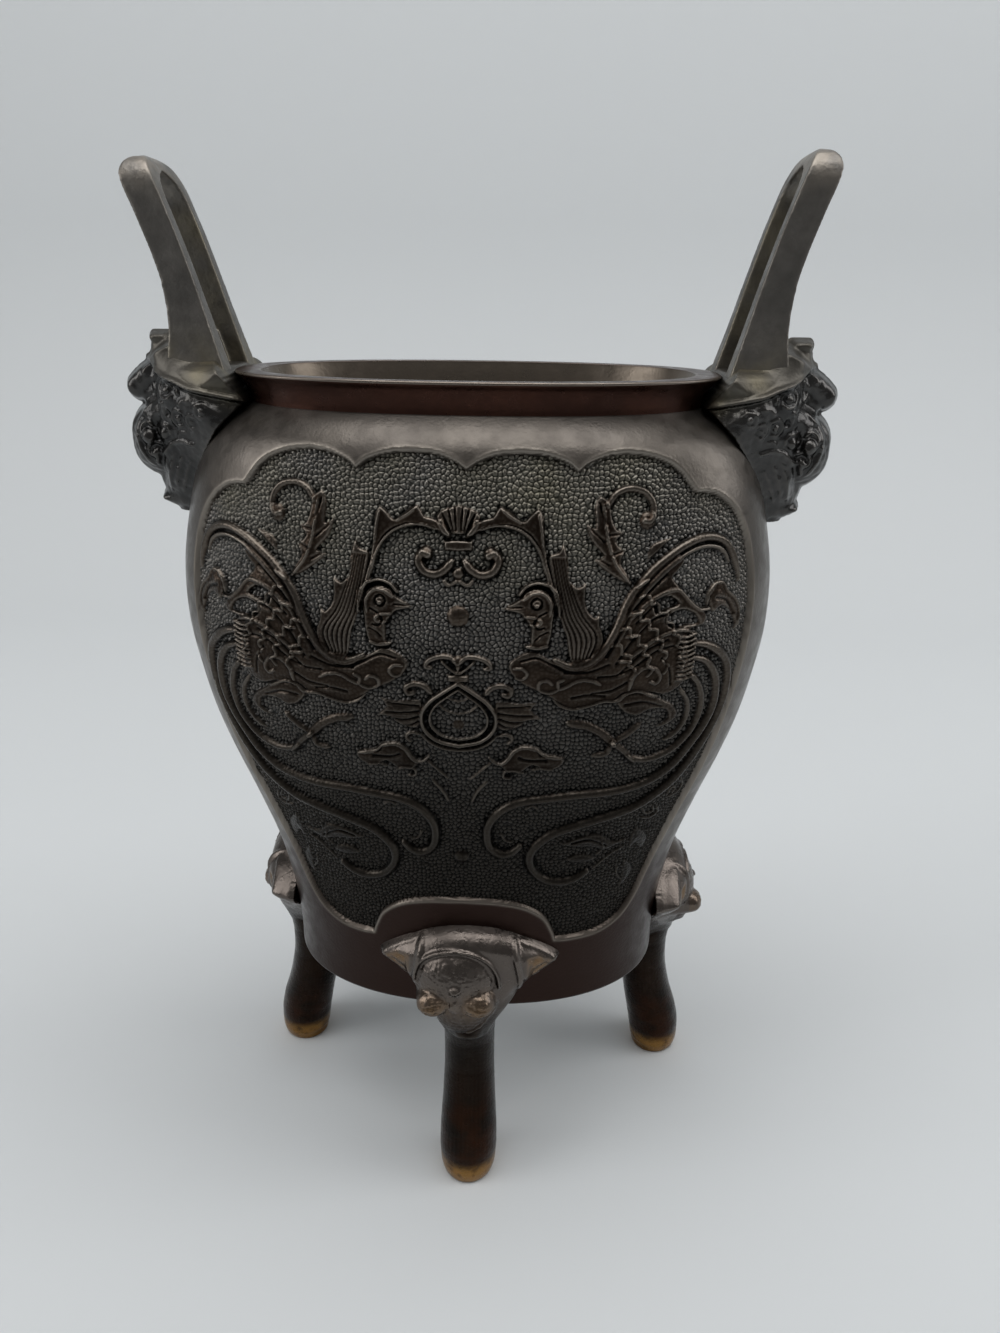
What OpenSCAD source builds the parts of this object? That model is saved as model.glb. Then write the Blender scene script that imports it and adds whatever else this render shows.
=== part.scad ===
// Oval bronze censer on three beast-headed legs, with loop handles rising from beast masks.
// Millimetres. Z is up, the floor is z = 0, the front of the censer faces -Y.

/* [Vessel] */
// Half width of the belly
belly_radius = 64.6; // [55:0.1:80]
// Depth of the oval plan as a share of its width
plan_ratio = 0.64; // [0.5:0.01:0.8]
// Thickness of the cast wall
wall = 4.5; // [3:0.1:7]
// Height of the underside of the shell
base_z = 49; // [40:0.5:55]
// Height of the joint between shoulder and collar
shoulder_z = 184; // [175:0.5:195]

/* [Collar] */
// Half width at the top edge
rim_radius = 50; // [45:0.1:56]
// Height of the flat top
rim_z = 190; // [186:0.5:200]
// Width of the flat top
rim_land = 5.2; // [3:0.1:8]
// Reach of the spigot below the shoulder
spigot_depth = 8; // [4:0.5:14]

/* [Relief panels] */
// Depth of the sunk field
panel_sink = 2.2; // [1:0.1:3]
// Thickness of the panel
panel_thickness = 1.2; // [0.6:0.1:2]
// Gap round the panel's edge
panel_gap = 0.3; // [0.1:0.05:0.6]
// Height of the ornament over the panel
ornament_rise = 0.95; // [0.4:0.05:1.4]
// Sideways place of the ornament's middle line
ornament_shift = -1.3; // [-3:0.1:3]

/* [Handles] */
// Half width of the loop across the top
loop_half_top = 8; // [6:0.1:16]
// Half width of the loop where it meets the mask
loop_half_foot = 9.9; // [7:0.1:20]
// Half width of the slot in the loop
slot_half = 5; // [3:0.1:8]
// Radius of the loop's top corners
loop_corner = 6; // [3:0.5:10]
// Half width of the mask
mask_half = 18; // [14:0.5:22]

/* [Legs] */
// Distance from the vessel's axis to the front head's back plane
front_seat = 25.5; // [20:0.5:32]
// Sideways place of the rear heads' back planes
side_seat_x = 43; // [36:0.1:50]
// Backward place of the rear heads' back planes
side_seat_y = 8.5; // [5:0.1:24]
// Turn of the rear legs away from the sides
side_turn = 8; // [0:1:40]
// Radius of the leg at its foot
foot_radius = 7.4; // [6:0.1:9]
// Radius of the leg at its narrowest
shank_radius = 6.4; // [5:0.1:8]

/* [Hidden] */
$fn = 96;
seat_gap = 0.4;
pin_gap = 0.05;
leg_rivet_radius = 2;
mask_rivet_radius = 1.6;
handle_pin_radius = 1.2;
mouth_radius = rim_radius - rim_land;
neck_radius = mouth_radius - 0.6;
spigot_radius = neck_radius - seat_gap;
spigot_foot = shoulder_z - spigot_depth;
far_out = 100;
draft = 0.2;
corner_steps = 10;
band_half = 0.9;
wall_bend = 0.1;

// Outline of the shell from the underside to the shoulder, as half width and height
SHELL_OUTLINE = [
    [46, base_z],
    [46, 56],
    [46.7, 65],
    [48, 74],
    [50.2, 84],
    [54, 96],
    [58.2, 108],
    [61.2, 118],
    [63.2, 128],
    [belly_radius, 139],
    [64.2, 151],
    [61.8, 163],
    [59, 172],
    [55.2, 178.6],
    [46.8, shoulder_z]
];

// Right half of the sunk panel field's outline seen from the front, from its top to its bottom
PANEL_HALF = [
    [0, 175.6], [10, 178.9], [21, 175.4], [31, 178.6], [42, 172], [47, 170.5], [52, 166],
    [55, 159.5], [57, 150], [56.5, 140], [55, 130], [53, 120], [50, 110], [47, 101],
    [43.5, 91], [40.5, 82], [38, 75], [34.5, 70], [30, 67.4], [24.5, 67], [21, 67.2],
    [20, 70.5], [18, 75], [14, 78.7], [8, 80.4], [0, 80.8]
];

// Raised shapes of the ornament's right half, as distance round the wall from its middle and height
BIRD = [
    [8.5, 152], [12.5, 155.4], [16, 156.2], [17.4, 159], [19.5, 163.8], [21, 157.5], [24, 157.4],
    [25, 152.4], [27, 152], [28.2, 147.4], [31, 151.8], [33.6, 156.4], [38, 160.6], [44, 164.2],
    [49, 165.2], [54, 163.6], [57.4, 160], [58.8, 155], [57.2, 155], [55.4, 159], [52.4, 161.8],
    [48, 162.8], [44, 161], [42.2, 157.6], [46, 153], [50, 149.6], [46.4, 147], [46.6, 141],
    [46, 136], [42.6, 133.6], [45.4, 128.6], [40.6, 126], [42, 130], [36, 129.6], [31, 133.2],
    [22.5, 132], [17, 134.4], [10.5, 138.4], [9.5, 141], [13.6, 144.4], [13.6, 148.4], [11.5, 151]
];
WING_SCROLL = [
    [50.4, 152.4], [51, 155], [53.4, 155.6], [57.4, 152.4], [59.4, 148.4], [58.6, 145],
    [57.4, 147.6], [55, 150], [51.6, 150.4]
];
CURLED_LEAF = [
    [32, 158], [28.6, 158.8], [25.4, 161.6], [26.6, 162.8], [23.6, 168], [25.2, 168], [25, 171.4],
    [31.5, 174.6], [35.6, 173], [37, 169.4], [35.6, 169.2], [34, 172], [31.4, 172.8], [29, 171],
    [30.8, 166.4], [29.8, 165], [31.2, 161.2]
];
MEDALLION_LEAF = [
    [9, 134.4], [13, 133.8], [11.8, 131.8], [13.2, 130], [11.2, 128.6], [12, 126.6], [8.8, 126.4]
];
LOWER_LEAF = [
    [7.8, 118.8], [10.6, 122], [12.8, 123.4], [15.2, 122.8], [16.6, 121], [21.4, 120.4],
    [20.2, 118], [17.4, 117], [14.8, 118.2], [12.2, 116.4], [9.6, 116.6]
];
SPRIG = [
    [21.5, 97.2], [25, 98.8], [28.5, 99.6], [31, 98.6], [33.5, 96.2], [38, 95.4], [32, 93.4],
    [28.5, 95]
];
RAISED_SHAPES = [BIRD, WING_SCROLL, CURLED_LEAF, MEDALLION_LEAF, LOWER_LEAF, SPRIG];

// Middle lines of the ornament's raised bands, drawn the same way
OUTER_STREAMER = [
    [48.2, 143.8], [52, 142.4], [55.6, 139.8], [58, 136], [58.6, 131], [57.4, 125.6], [54.5, 120],
    [50.5, 114.6], [45, 109.8], [38, 106], [23, 102], [18, 99], [15.2, 95], [15, 91], [17.2, 87],
    [21.8, 84.9], [28, 87.2]
];
INNER_STREAMER = [
    [48.6, 140.2], [52, 138], [54.4, 134.4], [55.2, 130], [54, 125.4], [51, 120.8], [46.5, 115.8],
    [40, 112.6], [31, 111.5], [13, 110.3], [8.4, 107.6], [5.8, 103], [6, 97.6], [8.4, 94.7],
    [12.6, 97]
];
SHORT_STREAMER = [
    [48.4, 136], [50.8, 132], [51, 127.4], [48.6, 122.6], [44, 119.3], [39, 118.4], [34.5, 120]
];
ARCH_BAND = [[15, 163.4], [13, 166], [10, 167.8], [7, 168.4], [4.4, 167.8], [2.8, 166.6]];
MIDDLE_SCROLL = [[2.6, 159.4], [4.2, 158.3], [6.3, 158.7], [7.4, 160.4], [6.6, 162]];
RAISED_BANDS = [OUTER_STREAMER, INNER_STREAMER, SHORT_STREAMER, ARCH_BAND, MIDDLE_SCROLL];
CROWN = [
    [-5.4, 142], [-3.6, 143.8], [0, 144.2], [3.6, 143.8], [5.4, 142], [1.6, 140.4], [-1.6, 140.4]
];

// Side outline of a handle loop, as distance from the axis and height
LOOP_SIDE = [
    [50.6, 190.9], [53.2, 200], [55.4, 208], [57.8, 216], [60.1, 223], [61.8, 227.4],
    [63.4, 228.4], [66.2, 227.8], [67.4, 225.8], [66.9, 223], [64.6, 217], [62.6, 211],
    [61.2, 205], [60.8, 198], [61.6, 190.9]
];

// Side outline of a handle mask, as distance from the axis and height
MASK_SIDE = [
    [44, 180], [46.8, 186], [51, 190.8], [57, 194.8], [62.4, 198.4], [66.2, 198.5], [68.6, 194.6],
    [73.2, 188], [69.8, 184], [71.8, 180.4], [73.7, 176.5], [73.2, 173],
    [69.8, 169.4], [69, 163.6], [67.3, 161], [60, 161]
];

// Front outline of a handle mask, as half width and height
MASK_FRONT = [
    [-6.5, 200], [-11.5, 195], [-mask_half, 186.4], [-17, 183], [-13, 178], [-11, 170],
    [-6.5, 162.5], [-4, 160], [4, 160], [6.5, 162.5], [11, 170], [13, 178], [17, 183],
    [mask_half, 186.4], [11.5, 195], [6.5, 200]
];

// Plan of a handle mask, as distance from the axis and half width
MASK_PLAN = [
    [30, -20], [46, -20], [54, -18.5], [62, -15], [68, -10.5], [71.5, -6], [74, -2.5],
    [74, 2.5], [71.5, 6], [68, 10.5], [62, 15], [54, 18.5], [46, 20], [30, 20]
];

// Outline of the leg from its sole to its head, as radius and height
LEG_OUTLINE = [
    [0, -4], [5.2, -4], [5.6, 0.6], [6.8, 3.4], [foot_radius, 8], [foot_radius, 13],
    [6.9, 21], [shank_radius, 30], [6.6, 39], [8, 47], [8, 54], [0, 54]
];

// Half width of the shell by height
SHELL_LEVELS = [for (point = SHELL_OUTLINE) [point[1], point[0]]];

function grown(outline, extra) = [for (point = outline) [point[0] + extra, point[1]]];

// The other half of an outline that starts and ends on the middle line
function mirrored(half) = [for (i = [len(half) - 2:-1:1]) [-half[i][0], half[i][1]]];

function oval_ratio(extra) = (plan_ratio * belly_radius + extra) / (belly_radius + extra);

// A solid of revolution squeezed to the oval plan, made as four quarters
module oval(outline, extra = 0) {
    for (quarter = [0:3])
        scale([1, oval_ratio(extra), 1])
            rotate([0, 0, 90 * quarter])
                rotate_extrude(angle = 90)
                    polygon(outline);
}

// A disc with a slight casting draft, widest at the top
module oval_disc(radius, low, high) {
    oval([[0, low], [radius - draft, low], [radius, high], [0, high]]);
}

// The shell as a full solid, larger or smaller all round
module shell_solid(extra = 0) {
    side = grown(SHELL_OUTLINE, extra);
    last = len(side) - 1;
    oval(concat([[0, side[0][1]]], side, [[0, side[last][1]]]), extra);
}

module collar_solid(extra = 0) {
    oval([
        [0, shoulder_z], [46.8 + extra, shoulder_z], [47.4 + extra, 186.4],
        [48.6 + extra, 188.4], [rim_radius + extra, rim_z - 0.4],
        [rim_radius - draft + extra, rim_z + extra], [0, rim_z + extra]
    ], extra);
}

// A bar through the front half of the vessel with the panel's outline
module panel_bar(shrink) {
    k = 1 - shrink / belly_radius;
    middle = 123;
    translate([0, 0, middle])
        rotate([90, 0, 0])
            linear_extrude(far_out)
                scale([k, k])
                    translate([0, -middle])
                        polygon(concat(PANEL_HALF, mirrored(PANEL_HALF)));
}

// Where a point measured round the wall is when seen from the front
function seen_from_front(point) =
    let (half = lookup(point[1], SHELL_LEVELS))
        [point[0] - wall_bend * pow(point[0], 3) / pow(half, 2), point[1]];

// The direction across a line at one of its points
function across_line(line, i) =
    let (step = line[min(i + 1, len(line) - 1)] - line[max(i - 1, 0)])
        [-step[1], step[0]] / norm(step);

// The outline of a band that follows a line
function band(line) = concat(
    [for (i = [0:len(line) - 1]) line[i] + band_half * across_line(line, i)],
    [for (i = [len(line) - 1:-1:0]) line[i] - band_half * across_line(line, i)]
);

module raised_shape(outline) {
    polygon([for (point = outline) seen_from_front(point)]);
}

module ornament_half() {
    for (outline = RAISED_SHAPES)
        raised_shape(outline);
    for (line = RAISED_BANDS)
        raised_shape(band(line));
}

module ornament_middle() {
    bead_radius = 1.8;
    ring_radius = 7.6;
    ring_hole = 5.7;
    eye_radius = 3.4;
    for (height = [93.2, 150.4, 163.4])
        translate([0, height])
            circle(bead_radius);
    translate([0, 130.4]) {
        difference() {
            circle(ring_radius);
            circle(ring_hole);
        }
        circle(eye_radius);
    }
    raised_shape(CROWN);
}

module ornament_bars() {
    rotate([90, 0, 0])
        linear_extrude(far_out)
            translate([ornament_shift, 0]) {
                ornament_half();
                mirror([1, 0])
                    ornament_half();
                ornament_middle();
            }
}

module relief_panel() {
    ground = panel_thickness - panel_sink;
    root = 0.5;
    intersection() {
        panel_bar(panel_gap);
        difference() {
            shell_solid(ground);
            shell_solid(-panel_sink);
        }
    }
    intersection() {
        ornament_bars();
        difference() {
            shell_solid(ground + ornament_rise);
            shell_solid(ground - root);
        }
    }
}

// Places a leg's frame: outward is -Y, the origin is on the floor under the head's back plane
module at_leg(which) {
    turn = which == 0 ? 0 : which * (90 + side_turn);
    place = which == 0 ? [0, -front_seat, 0] : [which * side_seat_x, side_seat_y, 0];
    translate(place)
        rotate([0, 0, turn])
            children();
}

// A rivet from the leg's head through the wall; the rear legs stand further off the wall
module leg_rivet_shape(which, gap = 0) {
    height = 58;
    depth = which == 0 ? 7 : 5;
    back = which == 0 ? 4.5 : 8.5;
    translate([0, -depth, height])
        rotate([-90, 0, 0])
            cylinder(r = leg_rivet_radius + gap, h = depth + back);
}

module leg_shape(which) {
    tilt = 8;
    foot_out = 7.9;
    difference() {
        union() {
            translate([0, -foot_out, 0])
                rotate([-tilt, 0, 0])
                    rotate_extrude()
                        polygon(LEG_OUTLINE);
            translate([0, -4.4, 61.5])
                scale([9.2, 8.6, 9.6])
                    sphere(1);
            translate([0, -8, 53])
                scale([7.4, 5.8, 6.2])
                    sphere(1);
            for (side = [-1, 1]) {
                translate([side * 5, -10.2, 59])
                    sphere(2.6);
                translate([side * 13.4, -2.6, 65.5])
                    scale([6.6, 2.8, 3.4])
                        sphere(1);
            }
            translate([0, 0, 58])
                rotate([90, 0, 0])
                    cylinder(r = 15.5, h = 3.4);
        }
        translate([-far_out / 2, -far_out / 2, -far_out])
            cube(far_out);
        leg_rivet_shape(which, pin_gap);
    }
}

module leg(which) {
    difference() {
        at_leg(which)
            leg_shape(which);
        shell_solid(seat_gap);
    }
}

module at_side(side) {
    mirror([side < 0 ? 1 : 0, 0, 0])
        children();
}

// A bar across the vessel from a side outline
module across(outline, half) {
    translate([0, half, 0])
        rotate([90, 0, 0])
            linear_extrude(2 * half)
                polygon(outline);
}

// A bar along +X from an outline seen from the side of the vessel
module sideways(outline) {
    rotate([90, 0, 90])
        linear_extrude(far_out)
            polygon(outline);
}

// Points round a quarter of a circle, counted from its start angle
function quarter_arc(centre, radius, start) = [
    for (i = [0:corner_steps])
        let (angle = start + 90 * i / corner_steps)
            [centre[0] + radius * cos(angle), centre[1] + radius * sin(angle)]
];

module loop_outline() {
    top = 228.4;
    foot = 190.9;
    square_top = top - loop_corner;
    flat_half = loop_half_top - loop_corner;
    polygon(concat(
        [[loop_half_foot, foot], [loop_half_top, 206]],
        quarter_arc([flat_half, square_top], loop_corner, 0),
        quarter_arc([-flat_half, square_top], loop_corner, 90),
        [[-loop_half_top, 206], [-loop_half_foot, foot]]
    ));
}

module slot_outline() {
    crown = 220;
    sill = 196.2;
    translate([0, crown])
        circle(slot_half);
    translate([-slot_half, sill])
        square([2 * slot_half, crown - sill]);
}

module loop_shape() {
    intersection() {
        across(LOOP_SIDE, loop_half_foot + 1);
        rotate([90, 0, 90])
            linear_extrude(far_out)
                difference() {
                    loop_outline();
                    slot_outline();
                }
    }
}

module handle_pin_shape(gap = 0) {
    pin_half = 11.6;
    translate([58, pin_half, 193.2])
        rotate([90, 0, 0])
            cylinder(r = handle_pin_radius + gap, h = 2 * pin_half);
}

module loop(side) {
    at_side(side)
        difference() {
            loop_shape();
            collar_solid(seat_gap);
            handle_pin_shape(pin_gap);
        }
}

// The pocket in the mask that takes the loop's foot
module loop_pocket() {
    low = 190.2;
    inner = 46;
    outer = 62.1;
    half = loop_half_foot + 0.3;
    translate([inner, -half, low])
        cube([outer - inner, 2 * half, 20]);
}

module mask_rivet_shape(gap = 0) {
    inside = 53.5;
    reach = 9;
    for (side = [-1, 1])
        translate([inside, side * 5, 170])
            rotate([0, 90, 0])
                cylinder(r = mask_rivet_radius + gap, h = reach);
}

module mask(side) {
    at_side(side)
        difference() {
            union() {
                intersection() {
                    across(MASK_SIDE, mask_half + 1);
                    sideways(MASK_FRONT);
                    linear_extrude(2 * far_out)
                        polygon(MASK_PLAN);
                }
                for (half = [-1, 1])
                    translate([66, half * 9.5, 190])
                        sphere(3);
            }
            shell_solid(seat_gap);
            collar_solid(seat_gap);
            loop_pocket();
            handle_pin_shape(pin_gap);
            mask_rivet_shape(pin_gap);
        }
}

module vessel_body() {
    color([0.24, 0.19, 0.16])
        difference() {
            shell_solid();
            intersection() {
                shell_solid(-wall);
                oval_disc(far_out, base_z - 1, shoulder_z - 3.2);
            }
            oval_disc(neck_radius, shoulder_z - 10, shoulder_z + 1);
            oval_disc(43.4, base_z - 1, base_z + 3.2);
            for (turn = [0, 180])
                rotate([0, 0, turn])
                    difference() {
                        panel_bar(0);
                        shell_solid(-panel_sink);
                    }
            for (which = [-1, 0, 1])
                at_leg(which)
                    leg_rivet_shape(which, pin_gap);
            for (side = [-1, 1])
                at_side(side)
                    mask_rivet_shape(pin_gap);
        }
}

module rim_collar() {
    color([0.22, 0.15, 0.12])
        difference() {
            union() {
                collar_solid();
                oval_disc(spigot_radius, spigot_foot, shoulder_z + 1);
            }
            oval([
                [0, spigot_foot - 1], [mouth_radius - 3.6, spigot_foot - 1],
                [mouth_radius - 3, shoulder_z - 1], [mouth_radius, rim_z],
                [mouth_radius + draft, rim_z + 1], [0, rim_z + 1]
            ]);
        }
}

module floor_plate() {
    color([0.16, 0.13, 0.11])
        oval_disc(43.1, base_z + 0.2, base_z + 3.2);
}

module front_relief_panel() {
    color([0.18, 0.15, 0.13])
        relief_panel();
}

module rear_relief_panel() {
    color([0.18, 0.15, 0.13])
        rotate([0, 0, 180])
            relief_panel();
}

module left_handle_loop() {
    color([0.25, 0.21, 0.17])
        loop(-1);
}

module right_handle_loop() {
    color([0.25, 0.21, 0.17])
        loop(1);
}

module left_handle_mask() {
    color([0.26, 0.22, 0.17])
        mask(-1);
}

module right_handle_mask() {
    color([0.26, 0.22, 0.17])
        mask(1);
}

module front_leg() {
    color([0.27, 0.21, 0.15])
        leg(0);
}

module left_leg() {
    color([0.27, 0.21, 0.15])
        leg(-1);
}

module right_leg() {
    color([0.27, 0.21, 0.15])
        leg(1);
}

module leg_rivets() {
    color([0.35, 0.28, 0.18])
        for (which = [-1, 0, 1])
            at_leg(which)
                leg_rivet_shape(which);
}

module mask_rivets() {
    color([0.35, 0.28, 0.18])
        for (side = [-1, 1])
            at_side(side)
                mask_rivet_shape();
}

module handle_pins() {
    color([0.35, 0.28, 0.18])
        for (side = [-1, 1])
            at_side(side)
                handle_pin_shape();
}

vessel_body();
rim_collar();
floor_plate();
front_relief_panel();
rear_relief_panel();
left_handle_loop();
right_handle_loop();
left_handle_mask();
right_handle_mask();
front_leg();
left_leg();
right_leg();
leg_rivets();
mask_rivets();
handle_pins();
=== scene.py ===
"""Looks of the oval bronze censer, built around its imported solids.

Sizes are in millimetres and become metres when a mesh is made. Z is up, the floor is
z = 0 and the front of the censer faces -Y.
"""
import math

import bmesh
import bpy
import numpy as np
from mathutils import Matrix, Vector


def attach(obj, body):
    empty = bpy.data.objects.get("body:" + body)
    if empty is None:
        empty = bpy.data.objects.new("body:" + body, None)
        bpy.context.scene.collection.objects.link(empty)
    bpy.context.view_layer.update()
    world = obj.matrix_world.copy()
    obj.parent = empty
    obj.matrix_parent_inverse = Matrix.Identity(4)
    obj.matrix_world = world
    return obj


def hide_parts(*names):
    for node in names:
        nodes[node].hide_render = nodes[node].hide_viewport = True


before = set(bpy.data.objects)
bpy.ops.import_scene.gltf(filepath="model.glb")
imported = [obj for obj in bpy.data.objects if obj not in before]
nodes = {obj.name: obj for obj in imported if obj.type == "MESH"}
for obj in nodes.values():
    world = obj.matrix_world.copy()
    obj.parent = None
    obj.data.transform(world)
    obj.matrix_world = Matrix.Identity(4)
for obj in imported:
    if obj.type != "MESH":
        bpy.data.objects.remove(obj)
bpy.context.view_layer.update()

MM = 0.001
FAR = 1e9
TINY = 1e-9
CURVE_STEPS = 6

# Shell outline as half width and height
SHELL_OUTLINE = (
    (46, 49), (46, 56), (46.7, 65), (48, 74), (50.2, 84), (54, 96), (58.2, 108),
    (61.2, 118), (63.2, 128), (64.6, 139), (64.2, 151), (61.8, 163), (59, 172),
    (55.2, 178.6), (46.8, 184),
)
WALL = 4.5
# The plan is an oval between an ellipse and a box; its depth is a share of its width, by height
PLAN_POWER = 2.3
RATIO_HEIGHTS = (49, 100, 139, 190)
RATIO_VALUES = (0.68, 0.65, 0.63, 0.58)

# Half of the sunk field's outline, as arc length from the middle and height, one row per smooth run
FIELD_RUNS = (
    ((0, 175.6), (2, 177), (5.5, 178.3), (10, 178.7), (14.5, 178.3), (18.5, 177), (20.5, 175.4)),
    ((20.5, 175.4), (22.5, 176.9), (26.5, 178.2), (31, 178.4), (36, 177.4), (40.5, 175.2), (44.5, 171)),
    ((44.5, 171), (50, 170), (56, 166), (60, 159.5), (62, 150), (61.5, 140), (60, 130),
     (57.5, 120), (54.5, 110), (51, 101), (47, 91), (43.5, 82), (40.5, 75), (36.5, 70),
     (31, 67.4), (25, 66.9), (21.3, 67.2)),
    ((21.3, 67.2), (20.4, 70), (18.4, 74), (14, 77.3), (8, 78.9), (0, 79.4)),
)
FIELD_STEPS = 10
# How far below the shell the field's ground lies, and how deep the shell is cut out for it
FIELD_SINK = 1.5
FIELD_FLOOR = 2.6
ORNAMENT_AXIS = -1.3
# The arch at the field's foot sits off the middle: its shift, and where that fades in
ARCH_SHIFT = -1.3
ARCH_ACROSS = (30, 22)
ARCH_UP = (90, 80)


def smooth_path(points, steps=CURVE_STEPS, closed=False):
    """A smooth curve through the points, as cubic stretches whose slopes come from the neighbours."""
    pts = np.asarray(points, float)
    count = len(pts)
    if count < 3 and not closed:
        return pts
    out = []
    spans = count if closed else count - 1
    for i in range(spans):
        if closed:
            p0, p1, p2, p3 = (pts[(i + k) % count] for k in (-1, 0, 1, 2))
        else:
            p1, p2 = pts[i], pts[i + 1]
            p0 = pts[i - 1] if i > 0 else 2 * p1 - p2
            p3 = pts[i + 2] if i + 2 < count else 2 * p2 - p1
        for t in np.arange(steps) / steps:
            out.append(0.5 * (2 * p1 + (p2 - p0) * t + (2 * p0 - 5 * p1 + 4 * p2 - p3) * t * t
                              + (3 * p1 - p0 - 3 * p2 + p3) * t ** 3))
    if not closed:
        out.append(pts[-1])
    return np.array(out)


def smoothstep(low, high, value):
    t = np.clip((value - low) / (high - low), 0, 1)
    return t * t * (3 - 2 * t)


def lookup(value, table):
    """Values between the rows of a table of pairs."""
    keys, results = zip(*table)
    return np.interp(value, keys, results)


def path_distance(path, across, up):
    """Distance of each grid point to a path, and how far along the path that is, 0 to 1."""
    best = np.full(across.shape, FAR)
    along = np.zeros(across.shape)
    steps = np.hypot(*np.diff(path, axis=0).T)
    total = max(steps.sum(), TINY)
    done = 0.0
    for (a0, a1), (b0, b1), length in zip(path[:-1], path[1:], steps):
        if length < TINY:
            continue
        d0, d1 = (b0 - a0) / length, (b1 - a1) / length
        t = np.clip((across - a0) * d0 + (up - a1) * d1, 0, length)
        gap = np.hypot(across - a0 - t * d0, up - a1 - t * d1)
        nearer = gap < best
        best[nearer] = gap[nearer]
        along[nearer] = ((done + t) / total)[nearer]
        done += length
    return best, along


def inside_outline(outline, across, up):
    """True for the grid points inside a closed outline."""
    inside = np.zeros(across.shape, bool)
    for (a0, a1), (b0, b1) in zip(outline, np.roll(outline, -1, axis=0)):
        if a1 == b1:
            continue
        spans = (a1 > up) != (b1 > up)
        inside ^= spans & (across < (b0 - a0) * (up - a1) / (b1 - a1) + a0)
    return inside


def signed_gap(path, outline, across, up):
    """Distance of each grid point to a path, negative outside the outline."""
    gap, _ = path_distance(path, across, up)
    return np.where(inside_outline(outline, across, up), gap, -gap)


def inset_of(outline, across, up):
    """Distance inside a closed outline, negative outside."""
    return signed_gap(np.concatenate((outline, outline[:1])), outline, across, up)


def joined_runs(runs, steps):
    """One outline from runs that are smooth in themselves and meet at corners."""
    curves = [smooth_path(run, steps)[:-1] for run in runs]
    return np.concatenate(curves + [np.array(runs[-1][-1:])])


def per_cell(values, pick):
    """One value per cell of a grid, picked from its four corners."""
    return pick.reduce((values[:-1, :-1], values[1:, 1:], values[:-1, 1:], values[1:, :-1]))


def cell_corners(rows, cols, wrap=False):
    """The four point numbers of every cell of a grid; wrap joins the last column to the first."""
    index = np.arange(rows * cols).reshape(rows, cols)
    if wrap:
        index = np.concatenate((index, index[:, :1]), axis=1)
    return np.stack((index[:-1, :-1], index[:-1, 1:], index[1:, 1:], index[1:, :-1]), axis=-1)


# Body surface

PROFILE_STEPS = 24
PLAN_STEPS = 260
profile = smooth_path(SHELL_OUTLINE, PROFILE_STEPS)


def half_width(height):
    return np.interp(height, profile[:, 1], profile[:, 0])


def depth_ratio(height):
    return np.interp(height, RATIO_HEIGHTS, RATIO_VALUES)


def quarter_plan(half, ratio):
    """The front right quarter of one level's plan, with the arc length from the front centre."""
    turn = np.linspace(0, math.pi / 2, PLAN_STEPS)
    x = half * np.sin(turn) ** (2 / PLAN_POWER)
    y = -half * ratio * np.cos(turn) ** (2 / PLAN_POWER)
    y[-1] = 0
    length = np.concatenate(([0], np.cumsum(np.hypot(np.diff(x), np.diff(y)))))
    return x, y, length


def front_points(arc, half, height):
    """Points of the front half of the shell. Arc is a grid of lengths from the front centre,
    half and height hold one value per row."""
    out = np.zeros(arc.shape + (3,))
    for i, (wide, z) in enumerate(zip(half, height)):
        x, y, length = quarter_plan(wide, depth_ratio(z))
        distance = np.abs(arc[i])
        out[i, :, 0] = np.sign(arc[i]) * np.interp(distance, length, x)
        out[i, :, 1] = np.interp(distance, length, y)
        out[i, :, 2] = z
    return out


def grid_normals(points):
    """Outward normals of a grid whose columns run to +X and rows run up, seen from -Y."""
    along = np.gradient(points, axis=1)
    up = np.gradient(points, axis=0)
    normal = np.cross(along, up)
    return normal / np.maximum(np.linalg.norm(normal, axis=2, keepdims=True), TINY)


def field_outline():
    """The whole outline of the sunk field."""
    half = joined_runs(FIELD_RUNS, FIELD_STEPS)
    outline = np.concatenate((half, half[-2:0:-1] * (-1, 1)))
    near_arch = smoothstep(*ARCH_ACROSS, np.abs(outline[:, 0])) * smoothstep(*ARCH_UP, outline[:, 1])
    outline[:, 0] += ARCH_SHIFT * near_arch
    return outline


# Mesh making

def add_object(name, data):
    """A new object in the scene."""
    obj = bpy.data.objects.new(name, data)
    bpy.context.scene.collection.objects.link(obj)
    return obj


def placed_copy(obj, name, matrix):
    """The same mesh again at another place."""
    copy = add_object(name, obj.data)
    copy.matrix_world = matrix
    return copy


def own_copy(obj, name):
    """A copy of an object with a mesh of its own."""
    mesh = obj.data.copy()
    mesh.name = name
    return add_object(name, mesh)


def mirrored_copy(obj, name):
    copy = own_copy(obj, name)
    copy.data.transform(Matrix.Scale(-1, 4, (1, 0, 0)))
    copy.data.flip_normals()
    return copy


def shade_smooth(mesh):
    mesh.polygons.foreach_set("use_smooth", [True] * len(mesh.polygons))


def new_piece(name, points, faces, layers):
    """A mesh object from points in millimetres, with a value per point in each layer."""
    mesh = bpy.data.meshes.new(name)
    mesh.from_pydata((np.asarray(points) * MM).tolist(), [], faces)
    shade_smooth(mesh)
    for key, values in layers.items():
        set_layer(mesh, key, values)
    mesh.update()
    return add_object(name, mesh)


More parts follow.
